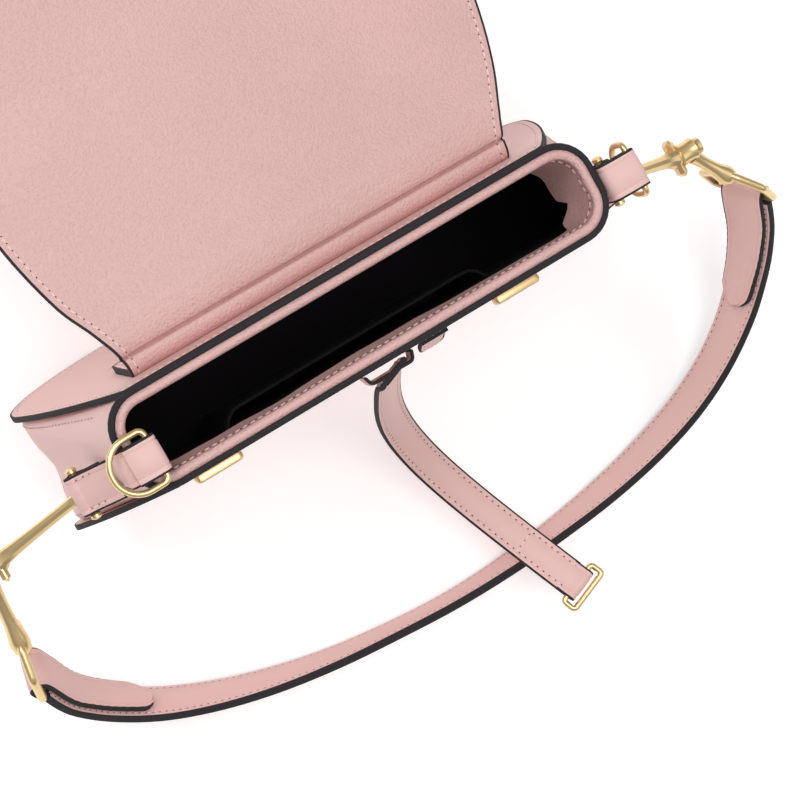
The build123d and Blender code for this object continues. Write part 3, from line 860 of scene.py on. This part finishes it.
def make_lining():
    """The cloth bag inside, a little slack between its seams."""
    piece = Piece("cloth_lining", "black_twill")

    def slack(ring, depth):
        made = []
        for point in ring:
            inwards = Vector((-point.x * 0.2, -point.y, 0)).normalized()
            at = Vector((point.x * 0.035, point.y * 0.05, point.z * 0.022))
            folds = 0.5 + 0.5 * noise.noise(at)
            fine = 0.5 + 0.5 * noise.noise(Vector((point.x * 0.11, point.z * 0.05, 7.0)))
            shut = hump((point.z - 4.0) / 158.0)
            made.append(point + inwards * (depth * shut * (1.6 * folds + 0.7 * fine)))
        return made

    outer = [slack(ring, 1.0) for ring in body_levels(2.5, 4.6, 164.0, 40)]
    inner = [slack(ring, 1.0) for ring in body_levels(3.05, 5.3, 164.0, 40)]
    piece.loft(outer + inner[::-1])
    return piece.put("bag_body", "black_twill", "lining")


def wall_place(side, x, z, off):
    """A point inside the bag, off a panel's lining face."""
    return Vector((x, side * (wall_y(z) - 5.6 - off), z))


def pocket_gaps():
    """Across the slip pocket: X, and how far its cloth stands off the wall."""
    for step in range(41):
        x = 2 * POCKET_HALF * step / 40 - POCKET_HALF
        yield x, 7.5 * min(1.0, sqrt(max(0.0, 1 - (x / (POCKET_HALF + 0.1)) ** 2)) * 2.2)


def make_slip_pocket():
    pocket = Piece("slip_pocket_cloth", "black_twill")
    sections = []
    for x, gap in pocket_gaps():
        belly = 0.5 * sin(pi * (x + POCKET_HALF) / (2 * POCKET_HALF))
        sections.append([
            wall_place(-1, x, z, gap - 0.5 + t + belly * sin(pi * (z - 38.0) / 90.0))
            for z, t in ((39, 0), (60, 0), (85, 0), (105, 0), (122.2, 0), (122.2, 0.9), (105, 0.9),
                         (85, 0.9), (60, 0.9), (39, 0.9))
        ])
    pocket.loft(sections).put("bag_body", "black_twill", "slip_pocket")

    trim = Piece("slip_pocket_hem", "black_twill")
    path = [wall_place(-1, x, 123.4 - 1.2 * bell(x, -20, 30), gap) for x, gap in pocket_gaps()]
    trim.tube(path, 0.75, flat=1.2, around=10)
    trim.put("bag_body", "black_twill", "slip_pocket_trim")


def make_zip():
    z, half = 127.0, 72.0
    tape = Piece("zip_tape_weave", "zip_tape")
    tape.loft([
        [wall_place(1, x, z + h, t) for h, t in
         ((-8, 0.1), (-2.2, 0.5), (0, 0.6), (2.2, 0.5), (8, 0.1), (8, -0.5), (-8, -0.5))]
        for x in (-half + 2 * half * n / 24 for n in range(25))
    ])
    tape.put("bag_body", "zip_tape", "zip_tape")
    teeth = Piece("zip_coil", "zip_teeth")
    for n in range(86):
        side = 1 if n % 2 else -1
        place = wall_place(1, -68.0 + 1.6 * n, z + side * 0.75, 1.25)
        teeth.bead(Matrix.Translation(place) @ Matrix.Diagonal((0.62, 0.5, 1.15, 1.0)), 0)
    teeth.put("bag_body", "zip_teeth", "zip_teeth")
    dress("gold_metal", "zip_slider", "zip_puller")


# ---- front -------------------------------------------------------------------------------------
def front_place(x, z, off):
    """A point in front of the front panel."""
    return Vector((x, -wall_y(z) - off, z))


def closure_place(out, z, sideways=0.0):
    return Vector((
        out * sin(CLOSURE_YAW) + sideways * cos(CLOSURE_YAW),
        CLOSURE_ROOT_Y - out * cos(CLOSURE_YAW) + sideways * sin(CLOSURE_YAW), z,
    ))


def make_keeper():
    keeper = Piece("strap_keeper_band")
    path = rounded(
        [Vector((x, -wall_y(156) - off, 156.0)) for x, off in
         ((-10.9, 0.7), (-9.6, 4.6), (9.6, 4.6), (10.9, 0.7))], [0.5, 2.0, 2.0, 0.5], 5,
    )
    path = path[3:-3]
    keeper.band(path, [Vector((0, 0, 1))] * len(path), 9.0, 1.7, seams=False)
    keeper.put("bag_body", "pink_leather", "strap_keeper")


def make_tongue():
    outline = [(15.5, 161.0), (15.5, 156.0), (15.5, 151.0)]
    turns = (pi + pi * n / 12 for n in range(1, 12))
    outline += [(21.5 + x, 151 + z) for x, z in circle(6, turns)]
    outline += [(27.5, 151.0), (27.5, 156.0), (27.5, 161.0), (21.5, 161.0)]
    tongue = Piece("front_tongue_patch").sheet(outline, 1.7, 3.0, seam=2.0, faces=(PINK, PINK))
    tongue.seam_lines(outline, 1.7, inset=2.0, faces=(1,))
    tongue.reshape(lambda x, z, t: front_place(x, z, t + 1.05 + 3.2 * ease(-z, -158.0, -145.0)))
    tongue.put("bag_body", "pink_leather", "front_tongue")


def make_front_plates():
    for name, side in (("left", -1), ("right", 1)):
        bar = Piece(f"{name}_front_plate", "gold_metal")
        bar.block(FRONT_PLATE)
        long_edges = [e for e in bar.bm.edges if abs(e.verts[0].co.x - e.verts[1].co.x) < 0.1]
        bar.soften(long_edges, 2.0, 5)
        bar.soften(bar.bm.edges[:], 0.5, 2)
        for post in (-7.0, 7.0):
            bmesh.ops.create_cone(
                bar.bm, cap_ends=True, segments=16, radius1=2.0, radius2=2.0, depth=3.2,
                matrix=Matrix.Translation((post, 2.4, 0)) @ Matrix.Rotation(pi / 2, 4, "X"),
            )
        place = front_place(side * 72.0, 118.0, 4.0)
        turn = Matrix.Translation(place) @ Matrix.Rotation(-LEAN, 4, "X")
        bmesh.ops.transform(bar.bm, matrix=turn, verts=bar.bm.verts)
        bar.put("bag_body", "gold_metal", f"{name}_front_bar", sharp=50)


# ---- flap --------------------------------------------------------------------------------------
def flap_place(x, s, t):
    """Where a point of the flat flap lies: s along it from its first fold, t through it."""
    if s >= 0:
        soft = 0.8 * bell(s, 18, 7) - 0.8 * bell(s, 30, 9) - 0.7 * bell(s, 100, 10)
        soft += 1.5 * ease(s, 2.8, 6.0) * (1 - ease(s, 12, 50)) - 3.2 * bell(s, 2.4, 0.6)
        soft += 0.5 * noise.noise(Vector((x * 0.016, s * 0.02, 0.0))) * ease(s, 30, 80)
        soft += 1.4 * noise.noise(Vector((x * 0.012 + 5, s * 0.014, 2.0))) * ease(s, 40, 120)
        curl = 1.6 * ease(abs(x), 70, 112) * ease(s, 40, 90)
        return Vector((x, HINGE_Y + s, HINGE_Z + soft * 0.8 - curl + t))
    if s > -BEND:
        angle = pi / 2 + (-s / BEND_RADIUS)
        out = BEND_RADIUS + t
        return Vector((x, HINGE_Y + out * cos(angle), HINGE_Z - BEND_RADIUS + out * sin(angle)))
    z = HINGE_Z - BEND_RADIUS + s + BEND
    return Vector((x, wall_y(z) + FLAP_THICKNESS / 2 - t, z))


def flap_outline():
    right = smooth_through(FLAP_SIDE + [(FLAP_LENGTH, 0.0)], 5)[:-1]
    right = [(half, s) for s, half in right]
    bottom = [(x, -48.0) for x in (-70, -50, -30, -10, 10, 30, 50, 70)]
    left = [(-x, s) for x, s in reversed(right)]
    return right + [(0.0, FLAP_LENGTH)] + left + bottom


def make_flap():
    outline = flap_outline()
    bend_rows = [-7.5 + 0.9 * n for n in range(9)] + [0.5 + 0.35 * n for n in range(13)]
    whole = Piece("flap_whole").sheet(outline, FLAP_THICKNESS, 5.0, rows=bend_rows)
    whole.seam_lines(outline, FLAP_THICKNESS)
    spans = (
        ("flap_neck_sheet", None, 15.0, "bag_body", "flap_neck", (0, 24, 147), (0, 36, 150),
         ("flap_anchor", "flap_neck_outer", "flap_neck_lining")),
        ("flap_bridge_sheet", 15.0, 70.0, "flap_neck", "flap_bridge", (0, 50, 150), (0, 68, 150),
         ("flap_bridge_outer", "flap_bridge_lining")),
        ("flap_front_sheet", 70.0, None, "flap_bridge", "flap_front", (0, 124, 150), (0, 146, 150),
         ("flap_front_outer", "flap_front_lining")),
    )
    for name, low, high, body, other, start, end, nodes in spans:
        piece = whole.copy(name)
        if low is not None:
            piece.cut(Vector((0, low, 0)), Vector((0, -1, 0)))
        if high is not None:
            piece.cut(Vector((0, high, 0)), Vector((0, 1, 0)))
        piece.reshape(flap_place)
        piece.put(body, "pink_leather", *nodes, blend=(other, start, end))
    whole.bm.free()


# ---- rings -------------------------------------------------------------------------------------
def make_rings():
    for name, side in (("left", -1), ("right", 1)):
        (bar_x, bar_z), (reach_x, reach_z) = RING_BARS[name], RING_REACHES[name]
        bar = Vector((bar_x, TAB_Y, bar_z))
        reach = Vector((reach_x, 0, reach_z)).normalized() * 18.5
        across = Vector((0, 11.0, 0))
        corners = [bar + across, bar + across + reach, bar - across + reach, bar - across]
        path = rounded(corners, [2.6, 10.6, 10.6, 2.6], 10)
        straight = [bar - across.lerp(-across, n / 8) * 0.76 for n in range(9)]
        ring = Piece(f"{name}_ring_wire", "gold_metal")
        up = across.cross(reach).normalized()
        ring.tube(path + straight, D_RING_WIRE, closed=True, up=up, around=14)
        ring.put(f"{name}_d_ring", "gold_metal", f"{name}_d_ring")

        hinge_x, hinge_z = TAB_HINGES[name]
        wrap = 2.4
        anchor_x = side * 110.9
        path = [(anchor_x, 151.0), (anchor_x, 158.0), (anchor_x, 165.0), (anchor_x, 169.0)]
        if name == "left":
            path += [(-109.4, 171.0), (-106.0, 171.8), (-102.0, 171.8), (bar_x, bar_z - wrap)]
            turns = [(-90 + 22.5 * n) for n in range(1, 9)]
            ends = [(-101.0, 176.5), (-105.0, 176.0), (-108.5, 174.6)]
        else:
            path += [(112.0, 171.4), (115.5, 172.6), (119.5, 173.1), (bar_x, bar_z + wrap)]
            turns = [(90 - 22.5 * n) for n in range(1, 9)]
            ends = [(119.8, 168.4), (116.4, 168.8), (113.4, 169.4)]
        path += [(bar_x + wrap * cos(radians(a)), bar_z + wrap * sin(radians(a))) for a in turns]
        path = smooth_through(path + ends, 3)
        points = [Vector((x, TAB_Y, z)) for x, z in path]
        tab = Piece(f"{name}_tab_leather")
        tab.band(points, [Vector((0, 1, 0))] * len(points), 16.0, 1.5, seams=False)
        tab.put(
            "bag_body", "pink_leather", f"{name}_ring_tab", f"{name}_tab_anchor",
            blend=(f"{name}_ring_tab", (side * 112.0, TAB_Y, 167.5),
                   (hinge_x + (4.5 if side < 0 else 3.5), TAB_Y, 172.2)),
        )


# ---- side rods ---------------------------------------------------------------------------------
def make_side_rods():
    for name, side in (("left", -1), ("right", 1)):
        pin_at, swivel = mirrored(LOOP_PIN, side), mirrored(SWIVEL, side)
        path = [(108.0, 140.5), (111.0, 140.0), (116.0, 137.4), (120.4, 134.6)]
        path += [(125.0 + 3.5 * cos(radians(a)), 132.0 + 3.5 * sin(radians(a)))
                 for a in range(190, 190 + 261, 20)]
        path += [(121.5, 138.2), (117.0, 143.2), (112.6, 147.6)]
        points = [Vector((side * x, pin_at.y, z)) for x, z in smooth_through(path, 3)]
        loop = Piece(f"{name}_loop_leather")
        loop.band(points, [Vector((0, 1, 0))] * len(points), 17.0, 2.2, seams=False)
        for across in (-6.2, 6.2):
            line = [p + Vector((0, across, 0)) for p in points[-16:-4]]
            ups = [Vector((side * 0.7, 0, 0.7))] * len(line)
            loop.stitches([p + up * 1.15 for p, up in zip(line, ups)], ups)
        loop.put("bag_body", "pink_leather", f"{name}_side_loop")

        pin = Piece(f"{name}_loop_pin_turned", "gold_metal")
        profile = [(-12.6, 0.3), (-12.4, 1.6), (-11.6, 2.9), (-10.2, 2.9), (-9.4, 2.0), (0.0, 1.9),
                   (9.4, 2.0), (10.2, 2.9), (11.6, 2.9), (12.4, 1.6), (12.6, 0.3)]
        pin.tube([pin_at + Vector((0, y * 0.91, 0)) for y, r in profile],
                 [r * 0.8 for y, r in profile], around=20)
        pin.put("bag_body", "gold_metal", f"{name}_loop_pin")

        rod_end = swivel - Vector((side * 4.0, 0, 0))
        along = (rod_end - pin_at).normalized()
        length = (rod_end - pin_at).length
        steps = [(4.0, 2.3), (5.0, 2.5), (8.0, 2.35), (14.0, 2.3), (30.0, 2.55), (40.0, 2.9),
                 (46.0, 3.3), (length - 3.0, 4.2), (length - 1.5, 4.7), (length, 4.6)]
        rod = Piece(f"{name}_rod_turned", "gold_metal")
        rod.turned(pin_at, along, steps, around=10)
        rod.soften(rod.block(ROD_FLANGE), 1.5, 1)
        at_origin = [v for v in rod.bm.verts if v.co.length < 15]
        move = Matrix.Translation(swivel - Vector((side * 4.2, 0, 0)))
        bmesh.ops.transform(rod.bm, matrix=move, verts=at_origin)
        post = [(-3.0, 2.4), (0.0, 2.4), (6.3, 2.4), (6.4, 3.2), (6.8, 3.6), (8.4, 3.6),
                (8.8, 3.0), (8.9, 0.6)]
        rod.turned(swivel, Vector((side, 0, 0)), post, around=20)
        rod.put("bag_body", "gold_metal", f"{name}_side_rod", sharp=30)


# ---- shoulder strap ----------------------------------------------------------------------------
def strap_stations(steps):
    """Point, across, and outward normal along the shoulder strap, from its right end."""
    rows = smooth_through(STRAP_ROUTE, steps)
    points = [Vector(row[:3]) for row in rows]
    last = len(points) - 1
    made = []
    for n, (point, row) in enumerate(zip(points, rows)):
        along = (points[min(n + 1, last)] - points[max(n - 1, 0)]).normalized()
        outside = Vector((-along.y, along.x, 0)).normalized()
        upright = outside.cross(along).normalized()
        upright = upright if upright.z > 0 else -upright
        across = upright * cos(radians(row[3])) + outside * sin(radians(row[3]))
        normal = along.cross(across).normalized()
        normal = normal if normal.dot(outside) > 0 else -normal
        made.append((point, across, normal))
    return made


def make_strap_end(name, side, stations):
    """The ring in a strap end, its link to the side rod, and the end folded round it."""
    end, across, normal = stations[0]
    away = (end - stations[1][0]).normalized()
    bar = end + away * 3.6
    swivel = mirrored(SWIVEL, side)
    far = (swivel - bar).normalized()
    far = (far - across * far.dot(across)).normalized()
    top = bar + far * 27.0
    shoulder = far * 18.0
    corners = [
        bar + across * 14.6, bar + across * 14.6 + shoulder, top + across * 5.0,
        top - across * 5.0, bar - across * 14.6 + shoulder, bar - across * 14.6,
    ]
    ring = Piece(f"{name}_strap_ring_wire", "gold_metal")
    wire = rounded(corners, [4.0] * 6, 6)
    ring.tube(wire, STRAP_RING_WIRE, closed=True, up=across.cross(far).normalized(), around=14)
    ring.put("shoulder_strap", "gold_metal", f"{name}_strap_ring")

    link = Piece(f"{name}_link_turned", "gold_metal")
    middle = swivel + Vector((side * 1.7, 0, 0))
    out = Vector((side, 0, 0))
    hoop = [(-4.2, 2.75), (-4.2, 4.4), (-3.6, 5.0), (-1.2, 4.6), (1.2, 4.6), (3.6, 5.0),
            (4.2, 4.4), (4.2, 2.75)]
    spokes = [Vector((0, y, z)) for y, z in circle(1, (2 * pi * n / 32 for n in range(33)))]
    link.loft([[middle + out * d + spoke * r for d, r in hoop] for spoke in spokes], ends=False)
    stem = top - middle
    shape = [(0.16, 3.6), (0.3, 3.1), (0.5, 2.8), (0.75, 3.0), (0.9, 3.8), (0.96, 4.2), (1.04, 4.4),
             (1.12, 3.9), (1.18, 2.6), (1.2, 0.8)]
    link.turned(middle, stem, shape, around=16)
    link.put("shoulder_strap", "gold_metal", f"{name}_strap_link", sharp=50)
    make_strap_fold(name, stations, away, bar)


def make_strap_fold(name, stations, away, bar):
    """The strap's end folded round its ring and sewn back on its inside."""
    end, across, normal = stations[0]
    inside = -normal
    fold = [end - away * 7 + normal * 0.9, end - away * 3 + normal * 1.5]
    fold += [bar - away * 2 + normal * 3.0]
    turns = (pi * n / 10 for n in range(1, 10))
    fold += [bar + normal * (FOLD_TURN * cos(a)) + away * (FOLD_TURN * sin(a)) for a in turns]
    fold += [bar - away * 2 + inside * 3.7]
    back = [(p + n * -4.05) for p, a, n in stations[2:15]]
    points = smooth_vectors(fold + back, 2)
    acrosses = [across] * (len(fold) * 2)
    for n in range(len(acrosses), len(points)):
        acrosses.append(stations[min(2 + (n - len(fold) * 2) // 2, 14)][1])
    lengths = [0.0]
    for a, b in zip(points, points[1:]):
        lengths.append(lengths[-1] + (b - a).length)
    remaining = [lengths[-1] - d for d in lengths]
    widths = [max(0.10, sqrt(max(0.0, 1 - (1 - min(r / 9.5, 1.0)) ** 2))) for r in remaining]
    tab = Piece(f"{name}_strap_return_leather")
    tab.band(points, acrosses, 20.0, 2.6, seams=False, widths=widths)
    lined = [p for p, r in zip(points, remaining) if 8.0 < r < 26.0]
    ups = [inside.normalized()] * len(lined)
    tab.stitches([p + up * 1.35 for p, up in zip(lined, ups)], ups)
    tab.put("shoulder_strap", "pink_leather", f"{name}_strap_fold", f"{name}_strap_return")


def make_shoulder_strap():
    stations = strap_stations(5)
    strap = Piece("shoulder_strap_leather")
    strap.band(
        [p for p, a, n in stations], [a for p, a, n in stations], *SHOULDER_STRAP
    )
    strap.put("shoulder_strap", "pink_leather", "shoulder_strap")
    make_strap_end("right", 1, stations)
    make_strap_end("left", -1, stations[::-1])


# ---- closing strap -----------------------------------------------------------------------------
def make_closing_strap():
    across = Vector((cos(CLOSURE_YAW), sin(CLOSURE_YAW), 0))
    points = [closure_place(out, z) for out, z in smooth_through(CLOSURE_ROUTE, 5)]
    end = points[-1]
    along = (points[-1] - points[-3]).normalized()
    down = across.cross(along).normalized()
    down = down if down.z < 0 else -down
    bar = end + along * 1.7
    turns = (pi * n / 8 for n in range(1, 9))
    fold = [bar + along * (2.9 * sin(a)) - down * (2.9 * cos(a)) * 0.62 for a in turns]
    under = [bar - along * d + down * 2.35 for d in (3.0, 8.0, 14.0)]
    upper = Piece("closing_strap_upper_leather")
    cut = 24
    upper.band(points[:cut + 1], [across] * (cut + 1), *CLOSING_STRAP)
    top, bottom = closure_place(-0.4, 158.0), closure_place(4.0, 138.0)
    upper.put("bag_body", "pink_leather", "closure_strap_root", "closure_strap_upper",
              blend=("closure_strap_upper", top, bottom))
    lower = Piece("closing_strap_lower_leather")
    lower.band(points[cut:-1], [across] * (len(points) - cut - 1), *CLOSING_STRAP)
    hem = [points[-6] - down * 0.2, points[-4] - down * 0.3, end - down * 0.9] + fold + under
    hem = smooth_vectors(hem, 3)
    lower.band(hem, [across] * len(hem), 15.8, 1.6, seams=False)
    row = [points[-9] + across * (-6.0 + 12.0 * n / 4) - down * 1.38 for n in range(5)]
    lower.stitches(row, [-down] * 5)
    lower.put("closure_strap_upper", "pink_leather", "closure_strap_lower",
              blend=("closure_strap_lower", closure_place(25.0, 78.0), closure_place(38.0, 54.0)))
    clasp = Piece("closing_clasp_wire", "gold_metal")
    corners = [
        bar - across * 10.5, bar + across * 10.5, bar + across * 10.5 + along * 6.3,
        bar - across * 10.5 + along * 6.3,
    ]
    wire = rounded(corners, [1.6] * 4, 6)
    clasp.tube(wire, 1.4, closed=True, up=down, around=14)
    clasp.put("closure_clasp", "gold_metal", "closure_clasp")


# ---- inside ------------------------------------------------------------------------------------
def dress_hidden():
    dress("fibre_board", "front_board", "back_board", "base_board")
    dress("magnet_steel", "body_magnet", "flap_magnet")


# ---- stage -------------------------------------------------------------------------------------
CAMERA_LENS = 108.0
CAMERA_PLACE = (-0.2036, 0.0863, 1.0669)
CAMERA_AXES = (
    (0.835969, -0.487881, 0.251252),
    (0.505307, 0.862921, -0.005646),
    (-0.214056, 0.131679, 0.967905),
)


def add_light(name, place, target, size, power, colour=(1.0, 1.0, 1.0)):
    light = bpy.data.lights.new(name, "AREA")
    light.shape, light.size, light.size_y = "RECTANGLE", size[0], size[1]
    light.energy, light.color = power, colour
    lamp = as_object(name, light)
    lamp.location = place
    lamp.rotation_euler = (Vector(target) - Vector(place)).to_track_quat("-Z", "Y").to_euler()


def make_floor():
    white = (1.0, 1.0, 1.0, 1.0)
    finish = Finish(
        "paper_floor", Specular_IOR_Level=0.1, Emission_Color=white, Emission_Strength=0.3
    )
    tone = finish.noise(3.0)
    tinted = finish.mix(tone, (0.93, 0.93, 0.935, 1.0), (0.95, 0.95, 0.95, 1.0))
    finish.surface(tinted, 0.85 + 0.05 * tone, tone, 0.0002)
    bm = bmesh.new()
    bmesh.ops.create_grid(bm, x_segments=4, y_segments=4, size=12.0)
    as_object("floor", as_mesh("floor", bm, [finish.material]))


def make_light():
    """A room that is brighter above, and three lamps."""
    world = bpy.data.worlds.new("studio")
    scene = bpy.context.scene
    scene.world = world
    scene.view_settings.view_transform = "Standard"
    world.use_nodes = True
    nodes, links = world.node_tree.nodes, world.node_tree.links
    direction = nodes.new("ShaderNodeTexCoord")
    split = nodes.new("ShaderNodeSeparateXYZ")
    height = nodes.new("ShaderNodeMapRange")
    for name, value in (("From Min", 0.05), ("From Max", 0.75), ("To Min", 0.16), ("To Max", 0.50)):
        height.inputs[name].default_value = value
    links.new(direction.outputs["Generated"], split.inputs["Vector"])
    links.new(split.outputs["Z"], height.inputs["Value"])
    links.new(height.outputs["Result"], nodes["Background"].inputs["Strength"])
    nodes["Background"].inputs["Color"].default_value = (1.0, 0.99, 0.985, 1.0)
    add_light("key", (-0.7, 1.1, 1.7), (0, 0, 0.1), (0.9, 0.9), 12.5)
    add_light("fill", (1.3, -0.8, 1.3), (0, -0.02, 0.05), (1.2, 1.2), 3.5)
    add_light("overhead", (0.0, 0.0, 2.0), (0, 0, 0), (1.0, 1.0), 12.0)


def make_camera():
    camera = bpy.data.cameras.new("camera")
    camera.lens, camera.sensor_width = CAMERA_LENS, 36.0
    camera.clip_start, camera.clip_end = 0.05, 20.0
    eye = as_object("camera", camera)
    eye.matrix_world = Matrix.Translation(CAMERA_PLACE) @ Matrix(CAMERA_AXES).transposed().to_4x4()
    bpy.context.scene.camera = eye


# ---- operators ---------------------------------------------------------------------------------
class MakesPieces:
    """What the operators share: each runs its own makers in order."""

    def execute(self, context):
        for make in self.makers:
            make()
        return {"FINISHED"}


class PURSE_OT_body(MakesPieces, bpy.types.Operator):
    """Make the panels and the side wall"""
    bl_idname = "purse.body"
    bl_label = "Body"
    makers = (make_panels, make_gusset)


class PURSE_OT_mouth(MakesPieces, bpy.types.Operator):
    """Make the rim, its facing and the lining"""
    bl_idname = "purse.mouth"
    bl_label = "Mouth"
    makers = (make_rim, make_facing, make_lining)


class PURSE_OT_pockets(MakesPieces, bpy.types.Operator):
    """Make the slip pocket and the zip"""
    bl_idname = "purse.pockets"
    bl_label = "Pockets"
    makers = (make_slip_pocket, make_zip)


class PURSE_OT_front(MakesPieces, bpy.types.Operator):
    """Make the keeper, the tongue and the plates of the front"""
    bl_idname = "purse.front"
    bl_label = "Front"
    makers = (make_keeper, make_tongue, make_front_plates)


class PURSE_OT_flap(MakesPieces, bpy.types.Operator):
    """Make the flap as one sheet, cut into three pieces at its folds"""
    bl_idname = "purse.flap"
    bl_label = "Flap"
    makers = (make_flap,)


class PURSE_OT_rings(MakesPieces, bpy.types.Operator):
    """Make the D-rings and their tabs"""
    bl_idname = "purse.rings"
    bl_label = "D-rings"
    makers = (make_rings,)


class PURSE_OT_rods(MakesPieces, bpy.types.Operator):
    """Make the side loops, their pins and the side rods"""
    bl_idname = "purse.rods"
    bl_label = "Side rods"
    makers = (make_side_rods,)


class PURSE_OT_shoulder_strap(MakesPieces, bpy.types.Operator):
    """Make the shoulder strap with its end rings and links"""
    bl_idname = "purse.shoulder_strap"
    bl_label = "Shoulder strap"
    makers = (make_shoulder_strap,)


class PURSE_OT_closing_strap(MakesPieces, bpy.types.Operator):
    """Make the closing strap and its clasp"""
    bl_idname = "purse.closing_strap"
    bl_label = "Closing strap"
    makers = (make_closing_strap,)


class PURSE_OT_hidden(MakesPieces, bpy.types.Operator):
    """Give the boards and magnets inside the leather their finish"""
    bl_idname = "purse.hidden"
    bl_label = "Boards and magnets"
    makers = (dress_hidden,)


class PURSE_OT_stage(MakesPieces, bpy.types.Operator):
    """Make the floor, the lights and the camera"""
    bl_idname = "purse.stage"
    bl_label = "Stage"
    makers = (make_floor, make_light, make_camera)


OPERATORS = (
    PURSE_OT_body, PURSE_OT_mouth, PURSE_OT_pockets, PURSE_OT_front, PURSE_OT_flap, PURSE_OT_rings,
    PURSE_OT_rods, PURSE_OT_shoulder_strap, PURSE_OT_closing_strap, PURSE_OT_hidden, PURSE_OT_stage,
)


class PURSE_PT_panel(bpy.types.Panel):
    """Sizes, colours and pieces of the purse"""
    bl_idname = "PURSE_PT_panel"
    bl_label = "Purse"
    bl_space_type = "VIEW_3D"
    bl_region_type = "UI"
    bl_category = "Purse"

    def draw(self, context):
        for group in (context.scene.purse_sizes, context.scene.purse_colours):
            column = self.layout.column()
            for name in group.bl_rna.properties.keys():
                if name not in ("rna_type", "name"):
                    column.prop(group, name)
        for operator in OPERATORS:
            self.layout.operator(operator.bl_idname)


CLASSES = (PurseSizes, PurseColours, *OPERATORS, PURSE_PT_panel)


def register():
    for cls in CLASSES:
        bpy.utils.register_class(cls)
    bpy.types.Scene.purse_sizes = PointerProperty(type=PurseSizes)
    bpy.types.Scene.purse_colours = PointerProperty(type=PurseColours)


def unregister():
    del bpy.types.Scene.purse_colours
    del bpy.types.Scene.purse_sizes
    for cls in reversed(CLASSES):
        bpy.utils.unregister_class(cls)


def main():
    register()
    for operator in OPERATORS:
        group, name = operator.bl_idname.split(".")
        getattr(getattr(bpy.ops, group), name)()


if __name__ == "__main__":
    main()
